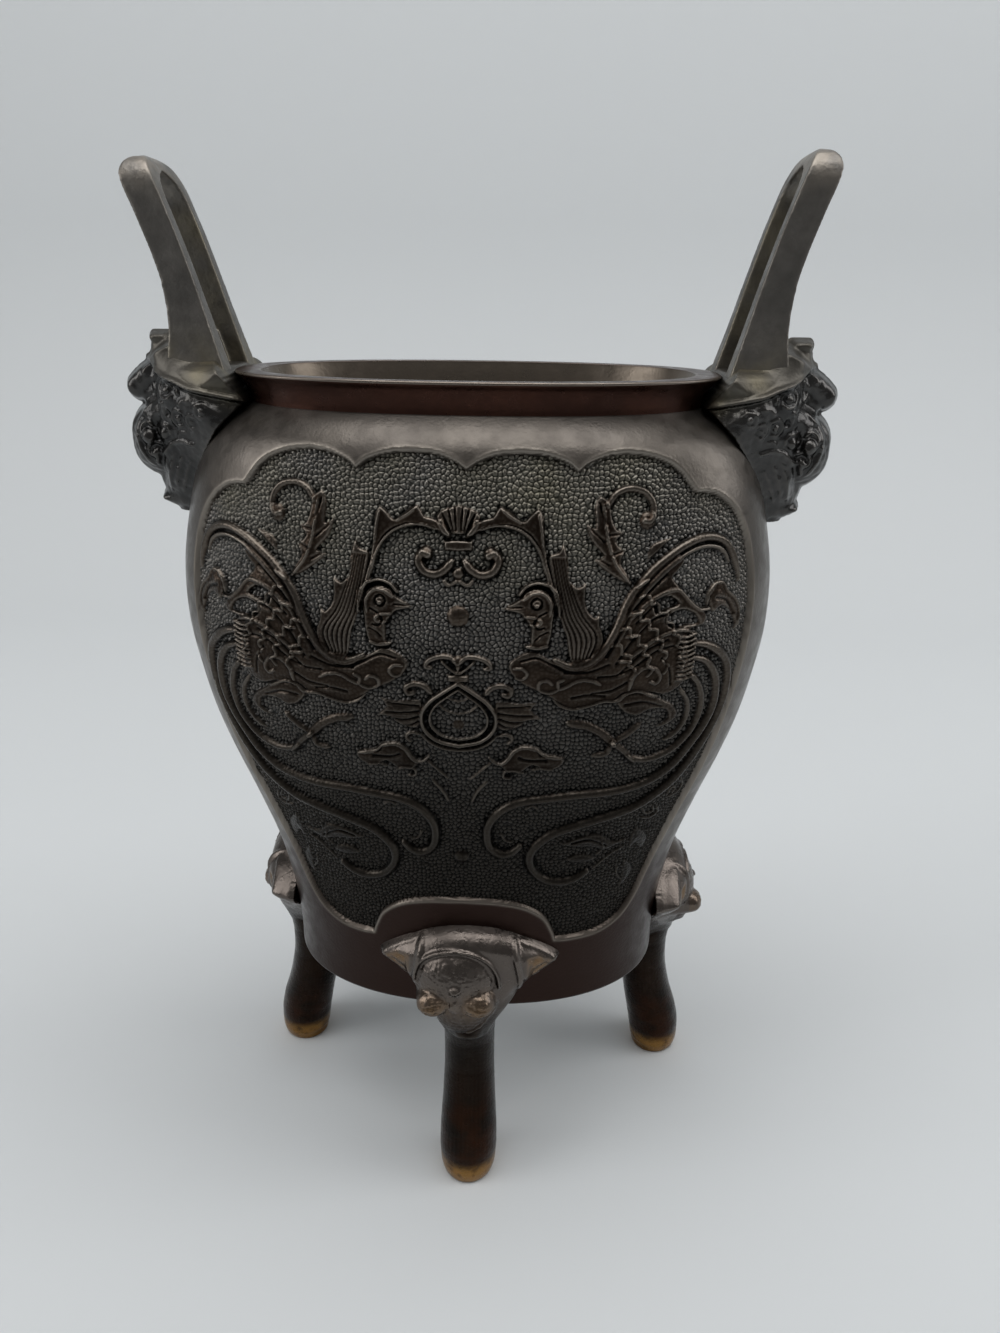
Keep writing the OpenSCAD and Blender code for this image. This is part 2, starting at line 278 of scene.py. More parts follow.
def grid_piece(name, points, keep=None, layers=None, wrap=False):
    """A piece from a grid of points; keep says which cells are made."""
    rows, cols = points.shape[:2]
    quads = cell_corners(rows, cols, wrap).reshape(-1, 4)
    if keep is not None:
        quads = quads[keep.reshape(-1)]
    used = np.unique(quads)
    renumber = np.zeros(rows * cols, int)
    renumber[used] = np.arange(len(used))
    kept = {key: values.reshape(-1)[used] for key, values in (layers or {}).items()}
    return new_piece(name, points.reshape(-1, 3)[used], renumber[quads].tolist(), kept)


# Relief ornament. Points are distance from the ornament's axis and height; both halves mirror.

RELIEF_STEP = 0.2
RELIEF_WIDTH = 65
RELIEF_LOW = 65.5
RELIEF_HIGH = 180
PLATE_GAIN = 1.2

# Filled shapes: outline and height
PLATES = (
    # bird: body with wing
    (((20, 141.5), (24.5, 142), (27, 144), (29, 147), (31, 151.5), (33.5, 155.5), (37.5, 159.5),
      (42, 162), (44, 160.5), (42.5, 158.5), (41.5, 157.5), (43.5, 155.5), (46, 153), (48.5, 151),
      (50, 149.5), (49.5, 147.5), (46.5, 147), (45.5, 145), (46.5, 141), (46, 136), (42, 133.5),
      (38, 134.5), (33, 135), (30.5, 133.5), (26.5, 133), (22.5, 132), (20, 132.5), (17, 134.5),
      (13, 136.5), (10.5, 138.5), (9.5, 141), (11.5, 143), (14.5, 144), (17, 142.5)), 0.75),
    # bird: thigh leaf
    (((31, 133.5), (34.5, 135), (39, 134), (41.5, 132.5), (44, 131), (45.5, 128.5), (43.5, 126.5),
      (40.5, 126), (43, 128), (42, 130), (38.5, 130.5), (36, 129.5), (33, 130.5)), 0.8),
    # bird: mane of plumes behind the head
    (((16.5, 161.5), (18.5, 162.5), (19.5, 164), (20.5, 161), (21, 157.5), (22.5, 156.5),
      (24, 157.5), (24, 154.5), (24.5, 152.5), (26, 151), (27, 152), (27, 149.5), (28, 146.5),
      (26.5, 143.5), (24, 141.5), (22, 141), (21, 143.5), (20.5, 146.5), (19.5, 149), (18.5, 153),
      (17.5, 157)), 0.85),
    # bird: head with beak, neck and breast collar
    (((8.5, 152), (11.5, 154), (12.5, 155.3), (14.8, 156), (17, 155.2), (18.3, 152.8), (18, 149.5),
      (17.8, 147), (16.8, 144.5), (13.8, 144.2), (13.6, 146.5), (13.6, 148.5), (12.2, 150.2),
      (11.5, 151)), 0.95),
    # leafy scroll outside the wing
    (((50, 152), (50.5, 154.5), (53, 155.5), (55, 153.8), (57.8, 151.8), (59.5, 148.5),
      (58.8, 145), (57.8, 147), (56, 149.5), (53.5, 150.5), (51.5, 149.5)), 0.85),
    # acanthus leaf
    (((33, 156.5), (29, 158.5), (25.3, 161.5), (27, 162.3), (24.5, 165), (23.5, 168.2), (25.3, 167.4),
      (25, 171), (26, 173.2), (28, 171.8), (28.6, 169), (29.5, 167.2), (30.8, 166.3), (29.5, 164.8),
      (31.2, 163), (30.6, 161), (32, 159)), 0.8),
    # sprig on the wing's back
    (((36, 161.2), (36, 163.2), (37.5, 164.5), (41, 165), (39.2, 163.5)), 0.7),
    # arch leaves beside the palmette
    (((1.2, 165.2), (2.4, 167), (4.6, 168.3), (6.2, 168.7), (7.4, 170.5), (8.8, 170.2), (10.6, 168.9),
      (12, 168), (13, 169), (14.6, 170.2), (15.7, 168.8), (16, 165.6), (16.3, 162.6), (16.8, 160),
      (17.6, 157.5), (19, 153), (19.6, 150.2), (18.8, 150.4), (18, 153), (16.4, 156.8), (15.8, 160),
      (15, 162.6), (13.6, 164.8), (11.8, 166.2), (9.4, 167), (7, 167), (4.6, 166.4), (2.8, 165)), 0.95),
    # lower leaf scroll
    (((7.8, 118.8), (9.2, 120), (10.6, 122), (12.8, 123.3), (15.2, 122.8), (16.4, 121), (18.6, 121.2),
      (21.4, 120.4), (20.4, 118), (17.4, 117), (14.8, 118.4), (12.4, 116.6), (10, 116.6)), 0.85),
    # sprigs in the tail loop
    (((21.5, 97), (25, 98.6), (28.5, 99.4), (31, 98.6), (33.5, 96), (38, 95.4), (35, 94.4),
      (32, 93.4), (28.5, 95), (25, 95.6)), 0.65),
    (((23, 91.6), (25, 93.2), (28, 92.8), (30, 91), (27.5, 90), (25, 90.4)), 0.6),
    (((39.5, 98.5), (41.5, 97), (43.5, 93.5), (42, 90), (40, 93), (38.5, 91), (38.2, 95)), 0.5),
    (((37.5, 88), (39.5, 86.5), (40.5, 83.5), (39, 80.5), (37, 79.5), (37.5, 83)), 0.5),
)

# Rounded ridges: points, width, height, taper at the start and the end
RIDGES = (
    # wing's leading edge
    (((18.5, 142), (21.5, 141), (24.5, 141.7), (27, 143.6), (29, 146.2), (30.7, 149.8),
      (32, 153.2), (33.8, 156), (37, 159.3), (40.5, 161.7), (44, 163.4), (48, 164.4), (51.5, 164),
      (54.5, 162.5), (56.5, 160), (58, 157), (58.5, 155)), 1.9, 1.45, 0.6, 0.5),
    (((30.5, 146), (32.3, 150), (34, 153.5), (36.5, 156.5), (40, 159.5), (44, 161.7), (48, 162.7),
      (51.5, 162.3), (54, 160.8), (55.5, 158.8)), 1.1, 1.2, 0.5, 0.4),
    # finger feathers
    (((33, 150.5), (36.5, 153.5), (40, 155), (43, 155), (45.5, 152.5), (48, 150.8), (50.5, 150.5)),
     0.9, 1.2, 0.5, 0.8),
    (((33, 146.5), (37, 150), (41, 151.8)), 0.8, 1.1, 0.5, 0.6),
    (((33.5, 143), (38, 146), (43, 147.3), (47, 146.2)), 0.8, 1.1, 0.5, 0.6),
    # short feather marks
    (((32.5, 151), (35.2, 152)), 0.6, 1.15, 0.6, 0.6),
    (((32, 147), (34.8, 147.2)), 0.6, 1.15, 0.6, 0.6),
    (((30.8, 142.2), (33.4, 142)), 0.6, 1.15, 0.6, 0.6),
    # body scrolls
    (((27.5, 137.5), (25.5, 138.5), (23, 138.3), (21, 137), (19.5, 136.3), (19.2, 137.6),
      (20.2, 138.2)), 0.7, 1.25, 0.5, 0.8),
    (((19.2, 136), (17.5, 135.2), (15.6, 135.8), (15.6, 137.5), (17, 138), (18, 137.2)),
     0.7, 1.25, 0.5, 0.8),
    (((10.6, 140.4), (12.2, 140.5), (13.2, 139.4), (12.3, 138.2), (11, 138.3)), 0.6, 1.2, 0.5, 0.8),
    (((33.5, 135.8), (34, 138.5), (36, 140.3), (38.5, 140), (39.8, 138.2), (39, 136.8), (37.8, 137.3)),
     0.8, 1.3, 0.5, 0.8),
    (((18.5, 133.5), (20, 132.3), (22.5, 131.9), (25.5, 132.8), (28.5, 133.6), (31, 133.5),
      (33, 134.8), (35.5, 135.2), (38.5, 134), (40.5, 133.3)), 0.8, 1.25, 0.5, 0.4),
    # leg with toes
    (((22, 128.4), (25.5, 128), (28.5, 126.2), (31, 123.8)), 2.2, 1.1, 0.8, 0.9),
    (((31, 123.8), (34, 125.2), (37, 127.6)), 1.6, 1.05, 0.9, 0.4),
    (((31, 123.8), (30, 121.2), (27.2, 120.8)), 1.5, 1.05, 0.9, 0.5),
    (((31, 123.8), (34, 121), (36.5, 117.8)), 1.7, 1.05, 0.9, 0.4),
    # leafy scroll edge
    (((49.8, 151.3), (50, 153.5), (51.5, 155.2), (53.5, 155.3), (55, 153.5), (57.5, 151.5),
      (59.2, 148.5), (58.5, 145)), 0.8, 1.2, 0.6, 0.5),
    # tail streamers
    (((47, 144), (51, 143), (55, 140.5), (57.5, 137.5), (58.7, 133), (58.5, 129), (57, 124.5),
      (54.5, 120), (51, 115), (47, 111.2), (42.5, 108.2), (38, 106), (33, 104.7), (28, 103.6),
      (24, 102.4), (20, 100.8), (17.3, 98.5), (15.3, 95.5), (14.8, 92), (15.8, 88.8), (18.3, 86),
      (21.8, 84.9), (25.3, 85.4), (28, 87.2)), 2.3, 1.5, 0.6, 0.7),
    (((47.5, 141), (51, 139.5), (54, 136), (55.3, 131.5), (55, 127.5), (53, 123.5), (50, 119.8),
      (46.5, 115.8), (41.5, 113.1), (36.5, 112), (31, 111.5), (24, 111.5), (18, 111), (13, 110.3),
      (9.5, 108.7), (7, 106), (5.7, 103), (5.6, 99.5), (6.3, 96.5), (8.3, 94.6), (10.8, 95),
      (12.6, 97)), 2.2, 1.5, 0.6, 0.7),
    (((46.5, 138), (49.5, 135), (51.2, 131), (51.2, 127.5), (49.8, 124), (47.3, 121.3),
      (44.5, 119.5), (41, 118.5), (37.5, 118.6), (34.5, 120)), 1.8, 1.35, 0.6, 0.6),
    (((45.5, 134), (47.5, 131), (47.8, 127.5), (46, 124.5), (43, 122.5)), 1.4, 1.15, 0.6, 0.5),
    # beak line and cap line of the head
    (((18.8, 150.5), (19, 153), (17.8, 155.6), (15.2, 156.8), (12.8, 156.2), (11.4, 154.6)),
     0.8, 1.3, 0.6, 0.7),
    (((17.2, 150.8), (17.3, 153), (16, 154.8), (14, 154.9), (12.3, 153.8)), 0.6, 1.3, 0.6, 0.6),
    (((12.4, 150.6), (14.5, 150.4), (15.6, 149.6), (14.6, 148.8), (13.4, 149)), 0.6, 1.25, 0.6, 0.8),
    (((13, 144.8), (15, 144.4), (17, 144.8)), 1.0, 1.35, 0.8, 0.8),
    # arch band over the middle
    (((16.2, 158.5), (15.4, 161.5), (14, 164), (11.9, 165.9), (9.2, 166.9), (6.5, 167), (4, 166.2)),
     0.7, 1.35, 0.5, 0.5),
    (((15.6, 163.6), (15.2, 166.5), (14.7, 169)), 0.6, 1.3, 0.6, 0.5),
    (((11.4, 167.6), (9.4, 168.7), (8, 169.8)), 0.6, 1.3, 0.6, 0.5),
    # curled tip of the acanthus leaf
    (((27.6, 171.4), (29.2, 173.4), (31.8, 174.2), (34.6, 173.6), (36.4, 171.8), (36.8, 169.6),
      (35.9, 168.2), (34.8, 168.3)), 1.5, 1.15, 0.9, 1),
    (((32, 157.5), (29.5, 160.5), (28, 164), (27.2, 167.5), (26.6, 171.5)), 0.6, 1.15, 0.6, 0.4),
    (((33.8, 156.5), (36, 157.6)), 0.8, 0.9, 0.9, 0.6),
    # scrolls under the palmette
    (((1.2, 160.6), (2.3, 159.2), (4.2, 158.2), (6.3, 158.7), (7.4, 160.4), (6.8, 162), (5.6, 161.6)),
     1.9, 1.35, 0.7, 1),
    (((0.2, 157), (1.8, 156.2), (2.8, 157.2)), 0.9, 0.9, 0.9, 0.5),
    # lower leaf scroll edge and stems
    (((6, 120.2), (7.8, 118.9), (9.4, 119.8), (10.8, 121.9), (12.8, 123), (15.3, 122.5), (17, 121),
      (20.8, 120.3)), 0.8, 1.25, 0.6, 0.5),
    (((13, 116.4), (11, 117.6), (9.2, 116.9), (9, 115.6), (10.4, 115.4)), 0.7, 1.1, 0.6, 0.8),
    (((14.5, 117.2), (17, 117.8), (19.2, 117.2)), 0.5, 1.1, 0.6, 0.5),
    (((5.5, 114.6), (3.4, 112.4), (2.3, 109.8)), 0.9, 0.9, 0.8, 0.4),
    (((2.2, 115), (4.5, 117), (6.5, 119)), 0.7, 0.8, 0.6, 0.6),
    # sprigs in the tail loops
    (((13.5, 108), (15, 109), (16.3, 108)), 0.7, 0.7, 0.5, 0.5),
    (((8.5, 101), (9.3, 99), (11, 98.2)), 0.9, 0.7, 0.6, 0.5),
    (((29.5, 87.5), (31.5, 89.5), (34, 91.6), (37, 93)), 0.7, 0.7, 0.6, 0.6),
    (((30, 92), (31.5, 94), (31, 96.5)), 0.5, 0.75, 0.6, 0.6),
    (((36, 86.5), (36.2, 83.5), (38.6, 80.5)), 0.6, 0.6, 0.6, 0.5),
    (((47, 106.8), (47.6, 108.4), (49, 108), (48.4, 106.6)), 0.7, 0.7, 0.7, 0.7),
    (((47.5, 105.8), (50, 106.3), (51.3, 108.2), (50.4, 110)), 0.9, 0.7, 0.7, 0.6),
    (((40.5, 104.5), (41.5, 102.5), (43.5, 102.8), (43.2, 104.4)), 0.7, 0.7, 0.7, 0.7),
    (((40.5, 101.5), (43, 100.8), (44.9, 102), (44.4, 104)), 0.9, 0.7, 0.7, 0.6),
)

# Beads: distance from the axis, height, radius, height of the bead
BEADS = (
    (0, 149.2, 2.2, 1.3), (0, 91.8, 1.8, 1.2), (6, 160.8, 1.4, 1.35), (0, 157.2, 1.2, 1.1),
    (35.6, 166.4, 1.8, 1.25), (0, 140.6, 1.1, 1.3), (14.7, 151.4, 0.5, 1.35), (0, 126.6, 1.4, 0.6),
)

# Narrow cuts in the raised shapes: points, width, depth
CUTS = (
    (((28.5, 143), (31, 147.5), (33, 151.5), (36, 155), (40, 158.2)), 0.6, 0.35),
    (((30.5, 141.5), (33.5, 146), (37, 149.5), (41, 151)), 0.6, 0.3),
    (((31.5, 139.5), (36, 143.5), (41, 145.5)), 0.6, 0.3),
    (((20.5, 139.5), (25, 140), (29, 141.5)), 0.6, 0.3),
    (((26, 135.5), (30, 136), (33, 137.5)), 0.5, 0.3),
    (((40, 142), (42, 139), (42.5, 136)), 0.5, 0.3),
    (((14.7, 154), (15.4, 153.7), (15.7, 153), (15.4, 152.3), (14.7, 152), (14, 152.3), (13.7, 153),
      (14, 153.7), (14.7, 154)), 0.45, 0.4),
    (((16.6, 151.4), (15.2, 150.6), (14.4, 149.4), (15, 148.2), (16.2, 148.4)), 0.45, 0.35),
    (((17, 147.6), (15.6, 147), (14.6, 146)), 0.4, 0.3),
    (((12, 141.8), (15, 142.4), (18, 141), (21, 139.6)), 0.5, 0.35),
    (((33, 146.4), (36, 149.4), (39.5, 151)), 0.5, 0.3),
    (((34, 149.4), (37.5, 152.4), (41, 154)), 0.5, 0.3),
    (((35, 141), (39, 143.6), (44, 144.2)), 0.5, 0.3),
    (((27, 139), (31, 139.2), (35, 141)), 0.5, 0.3),
    (((22, 134.4), (25, 135.2), (28.6, 134.8)), 0.5, 0.3),
    (((9, 152.2), (12, 152.4)), 0.4, 0.35),
    (((25.8, 162), (28.2, 160.6)), 0.5, 0.3),
    (((24.6, 167), (27.2, 164.8)), 0.5, 0.3),
    (((30.6, 163), (28.6, 162.4)), 0.5, 0.3),
    (((30.2, 166.2), (28, 166)), 0.5, 0.3),
    (((26, 171.8), (27.2, 168)), 0.5, 0.3),
    (((52, 152.5), (55, 151.5), (57.5, 148.5)), 0.6, 0.35),
    (((12, 120.5), (14, 119.8), (17.5, 119.6)), 0.6, 0.35),
    (((33, 132.5), (37, 132.6), (41, 131)), 0.6, 0.3),
    (((24, 97), (28, 97.6), (32, 95)), 0.5, 0.3),
)

# Places inside the bird where the ground shows
PITS = (
    ((38, 153.5), (41, 154), (43, 152.5), (41, 151.8), (38, 151)),
    ((40, 149.8), (43.5, 151.3), (47, 150), (48, 148), (45, 148), (42, 147.8)),
)

# Palmette, medallion and its leaves, drawn at the place where they sit
MIDDLE_PLATES = (
    # palmette, as a ribbed fan
    (((-1, 164.4), (1.6, 164.4), (3.2, 165.4), (4.2, 167), (3.6, 168.2), (2.6, 168.8), (1, 169.3),
      (-1, 169.3)), 0.8),
    # block over the palmette's scrolls
    (((-4, 163.2), (2.3, 163.2), (2.7, 162.8), (2.7, 161.6), (2.3, 161.2), (-4, 161.2)), 0.9),
    # stem and block of the medallion's crown, leaf masses at its sides
    (((-1, 140.4), (0.7, 140.2), (0.5, 138.4), (0.8, 137.6), (-1, 137.6)), 0.8),
    (((-4, 137.6), (1.8, 137.6), (2.1, 137.3), (2.1, 136.3), (1.8, 136), (-4, 136)), 0.9),
    (((7, 131.4), (9, 132), (12.4, 131.5), (15.4, 131.8), (14.4, 130), (16.2, 128), (13.6, 127.6),
      (11.6, 126), (8.6, 125.4), (7.2, 127.2)), 0.7),
)
MIDDLE_RIDGES = (
    # palmette's ends, curled under it
    (((3.4, 166.4), (2.6, 164.8), (1.6, 163.8)), 1.1, 1.3, 0.9, 0.6),
    # medallion: crown, drop-shaped frame, arcs in its top, curls at its sides
    (((0.4, 140.2), (1.6, 141.2), (3.6, 141.2), (5.6, 140.4), (6.2, 139.2), (5.2, 138.9)),
     1.3, 1.2, 0.8, 0.8),
    (((0.3, 137.8), (1.8, 139), (3.2, 140.4)), 0.7, 1.0, 0.8, 0.6),
    (((0, 135.8), (2.6, 134), (5.6, 131.6), (7.3, 128.6), (6.8, 125.4), (4.2, 122.9), (0, 121.8)),
     1.1, 1.3, 1, 1),
    (((0, 134.4), (2.2, 132.8), (4.6, 130.6), (5.7, 128.2), (5.2, 125.8), (3.2, 124), (0, 123.2)),
     0.6, 1.1, 1, 1),
    (((0, 131.8), (1.4, 132.2), (2.2, 133)), 0.5, 0.9, 1, 0.6),
    (((0, 129), (2.2, 129.6), (3.8, 131)), 0.5, 0.85, 1, 0.6),
    (((5.2, 133.4), (6.6, 134.9), (8.6, 135.3), (10.2, 134.4), (9.8, 133.2), (8.8, 133.4)),
     1.4, 1.1, 0.7, 0.9),
    (((0, 120.6), (3, 121), (5.6, 122.2), (7.4, 124)), 0.8, 0.95, 1, 0.6),
    (((8, 124.2), (9.6, 124.4), (10.6, 123.4), (9.8, 122.4)), 0.9, 0.9, 0.7, 0.9),
)
MIDDLE_CUTS = (
    # ribs of the palmette
    (((0.5, 164.8), (0.7, 169)), 0.4, 0.4),
    (((1, 164.8), (1.9, 168.6)), 0.4, 0.4),
    (((1.5, 164.8), (3, 167.8)), 0.4, 0.4),
    # veins of the leaf masses
    (((7.8, 130.6), (11, 130.7), (14, 131)), 0.4, 0.35),
    (((7.8, 129.4), (11, 129), (14.4, 128.8)), 0.4, 0.35),
    (((7.8, 128.2), (10.6, 127.4), (13, 127.4)), 0.4, 0.35),
    (((7.8, 127.2), (9.4, 126.2), (10.6, 126)), 0.4, 0.35),
)

# How far the other drawn shapes sit below their points, by height, near the axis and at the sides
DROP_MIDDLE = ((78, 0.6), (92, 1.4), (104, 2.6), (112, 2.6), (116, 1.2))
DROP_SIDE = ((78, 0.6), (92, 1.4), (104, 2.6), (112, 2.6), (116, 2))
SIDE_FROM = 18
SIDE_TO = 26

# Feathers of the wing: rows of small arcs that fan out from its root
FEATHER_ROOT = (25, 136)
FEATHER_ROWS = (8.5, 12, 15.5, 19)
FEATHER_ANGLES = (0.05, 1.05)
FEATHER_WIDTH = 2.6
FEATHER_BULGE = 1.1
FEATHER_SIZE = (0.6, 1.2, 0.8, 0.8)

# Cuts between the plumes of the mane: points, each with the spread from the first cut to the last
MANE_COUNT = 6
MANE_PATH = ((17.2, 160, 3), (18.3, 154.6, 3.2), (19.3, 149.4, 4.5), (20.8, 145.2, 6), (21.5, 141, 4))
MANE_SIZE = (0.4, 0.35)

# Ribs of the tail's root, one a millimetre above the other: points, from the lowest rib's level
RIB_COUNT = 10
RIB_LEVEL = 134.6
RIB_PATH = ((43.4, 0.3), (45.4, 0), (47.6, 0.6))
RIB_SIZE = (0.6, 1.5, 0.7, 0.7)

# Where shapes begin and end, as distance inside their outline
PLATE_EDGE = (-0.15, 0.45)
PIT_EDGE = (-0.3, 0.4)
CROWN_EDGE = (0.3, 3)
CROWN_HEIGHT = 0.3
PLATE_MARGIN = 1
PLATE_STEPS = 3
# A ridge narrows towards its ends, and stands up from a raised shape that it crosses
RIDGE_STEPS = 5
TAPER_SPEED = 6
RIDGE_OVER = 0.4
CROSSED_HEIGHT = (0.6, 1)
BEAD_LENGTH = 0.01
# Cuts only go into what is raised
CUT_GAIN = 1.4
CUT_HEIGHT = (0.3, 0.6)


class Relief:
    """Raised shapes on a grid; across and up each run from a low to a high value."""

    def __init__(self, across, up):
        self.across = np.arange(across[0], across[1] + RELIEF_STEP / 2, RELIEF_STEP)
        self.up = np.arange(up[0], up[1] + RELIEF_STEP / 2, RELIEF_STEP)
        self.height = np.zeros((len(self.up), len(self.across)))

    def window(self, path, margin):
        """The part of the grid round a path, and its points."""
        low = path.min(axis=0) - margin
        high = path.max(axis=0) + margin
        cols = slice(*np.searchsorted(self.across, (low[0], high[0])))
        rows = slice(*np.searchsorted(self.up, (low[1], high[1])))
        across, up = np.meshgrid(self.across[cols], self.up[rows])
        return (rows, cols), across, up

    def area(self, points):
        """The part of the grid round a closed shape, and the distance inside the shape."""
        outline = smooth_path(points, PLATE_STEPS, closed=True)
        part, across, up = self.window(outline, PLATE_MARGIN)
        return part, inset_of(outline, across, up)

    def plate(self, points, height):
        part, inset = self.area(points)
        shape = PLATE_GAIN * height * smoothstep(*PLATE_EDGE, inset)
        shape += CROWN_HEIGHT * smoothstep(*CROWN_EDGE, inset)
        self.height[part] = np.maximum(self.height[part], shape)

    def pit(self, points):
        part, inset = self.area(points)
        self.height[part] *= 1 - smoothstep(*PIT_EDGE, inset)

    def ridge(self, points, width, height, start, end):
        path = smooth_path(points, RIDGE_STEPS)
        part, across, up = self.window(path, width)
        gap, along = path_distance(path, across, up)
        ends = np.minimum(start + along * TAPER_SPEED, end + (1 - along) * TAPER_SPEED)
        taper = np.minimum(1, ends)
        half = width / 2 * taper
        dome = np.sqrt(np.clip(1 - (gap / half) ** 2, 0, 1))
        under = self.height[part]
        crossing = RIDGE_OVER * dome * smoothstep(*CROSSED_HEIGHT, under)
        self.height[part] = np.maximum(under + crossing, height * dome * np.sqrt(taper))

    def bead(self, across_at, up_at, radius, height):
        path = ((across_at, up_at), (across_at + BEAD_LENGTH, up_at))
        self.ridge(path, 2 * radius, height, 1, 1)

    def cut(self, points, width, depth):
        path = smooth_path(points, RIDGE_STEPS)
        part, across, up = self.window(path, 2 * width)
        gap, _ = path_distance(path, across, up)
        raised = smoothstep(*CUT_HEIGHT, self.height[part])
        self.height[part] -= CUT_GAIN * depth * raised * np.exp(-(2 * gap / width) ** 2)


def settled(points):
    """Drawn points of the ornament, lowered to where they sit on the bowl."""
    path = np.array(points, float)
    middle = lookup(path[:, 1], DROP_MIDDLE)
    side = lookup(path[:, 1], DROP_SIDE)
    path[:, 1] -= middle + (side - middle) * smoothstep(SIDE_FROM, SIDE_TO, path[:, 0])
    return path


def add_feathers(relief):
    """Scalloped rows on the wing."""
    low, high = FEATHER_ANGLES
    for radius in FEATHER_ROWS:
        count = round(radius * (high - low) / FEATHER_WIDTH)
        for i in range(count):
            turn = low + (high - low) * (i + np.array((0, 0.5, 1))) / count
            reach = radius + np.array((0, FEATHER_BULGE, 0))
            arc = np.stack((reach * np.cos(turn), reach * np.sin(turn)), axis=1)
            relief.ridge(FEATHER_ROOT + arc, *FEATHER_SIZE)


def ornament():
    """The right half of the ornament."""
    relief = Relief((0, RELIEF_WIDTH), (RELIEF_LOW, RELIEF_HIGH))
    for points, height in PLATES:
        relief.plate(settled(points), height)
    for points in PITS:
        relief.pit(settled(points))
    for points, height in MIDDLE_PLATES:
        relief.plate(points, height)
    for points, *size in RIDGES:
        relief.ridge(settled(points), *size)
    for points, *size in MIDDLE_RIDGES:
        relief.ridge(points, *size)
    add_feathers(relief)
    for bead in BEADS:
        relief.bead(*bead)
    for i in range(MANE_COUNT):
        share = (i + 0.5) / MANE_COUNT
        relief.cut([(across + spread * share, up) for across, up, spread in MANE_PATH], *MANE_SIZE)
    for i in range(RIB_COUNT):
        relief.ridge([(across, RIB_LEVEL + i + rise) for across, rise in RIB_PATH], *RIB_SIZE)
    for points, *size in CUTS:
        relief.cut(settled(points), *size)
    for points, *size in MIDDLE_CUTS:
        relief.cut(points, *size)
    return relief


# Pebbles of the ground: their size, how far they stray from even rows and how wide the valleys are
GRAIN_SIZE = 0.95
GRAIN_STRAY = 0.85
GRAIN_VALLEY = 0.45


def grain(arc, height, seed):
    """Pebbled ground: rounded cells with narrow valleys, 0 to 1."""
    rng = np.random.default_rng(seed)
    cell_u = np.floor(arc / GRAIN_SIZE).astype(int)
    cell_v = np.floor(height / GRAIN_SIZE).astype(int)
    cell_u -= cell_u.min() - 1
    cell_v -= cell_v.min() - 1
    jitter = rng.random((cell_u.max() + 2, cell_v.max() + 2, 2)) * GRAIN_STRAY
    u = (arc - arc.min()) / GRAIN_SIZE + 1 + (arc.min() / GRAIN_SIZE) % 1
    v = (height - height.min()) / GRAIN_SIZE + 1 + (height.min() / GRAIN_SIZE) % 1
    first = np.full(arc.shape, FAR)
    second = np.full(arc.shape, FAR)
    for du in (-1, 0, 1):
        for dv in (-1, 0, 1):
            iu, iv = cell_u + du, cell_v + dv
            point = jitter[iu, iv]
            gap = np.hypot(u - iu - point[..., 0], v - iv - point[..., 1])
            second = np.minimum(second, np.maximum(first, gap))
            first = np.minimum(first, gap)
    return smoothstep(0, GRAIN_VALLEY, second - first)


def blur(values, passes):
    """Softens a grid; each pass takes the rows and then the columns, by turning the grid twice."""
    for _ in range(2 * passes):
        rows = np.pad(values, ((1, 1), (0, 0)), mode="edge")
        values = (0.25 * rows[2:] + 0.5 * values + 0.25 * rows[:-2]).T
    return values


def both_halves(values, sign=1):
    """A grid of the right half with its mirror image on the left; sign turns the mirrored values."""
    return np.concatenate((sign * values[:, :0:-1], values), axis=1)


# Vessel

BODY_ROWS = 375
BODY_COLS = 430
RECESS_RAMP = 0.55
RECESS_KEPT = 2.2
# Underside and upper lip of the shell, as half width and height
SHELL_UNDER = ((43.3, 52.4), (43.3, 49.1), (45.4, 48.9))
SHELL_LIP = ((44.4, 184.2),)
# Painted highlight line with some wear just outside the field's edge, and the heights where the darker
# red-brown of the foot, partly painted shade, fades in
LIP_HIGHLIGHT_OUTSIDE = 0.15
LIP_HIGHLIGHT_WIDTH = 0.35
FOOT_SHADE_FADE = (92, 80)


def even_rows(outline, count):
    """Points spaced evenly along an outline of half widths and heights."""
    length = np.concatenate(([0], np.cumsum(np.hypot(*np.diff(outline, axis=0).T))))
    at = np.linspace(0, length[-1], count)
    return np.interp(at, length, outline[:, 0]), np.interp(at, length, outline[:, 1])


def shell_grid(half, height, cols):
    """Front half of the shell as a grid, with the arc length of each point."""
    arc = np.zeros((len(half), cols))
    for i, (wide, z) in enumerate(zip(half, height)):
        arc[i] = np.linspace(-1, 1, cols) * quarter_plan(wide, depth_ratio(z))[2][-1]
    return front_points(arc, half, height), arc


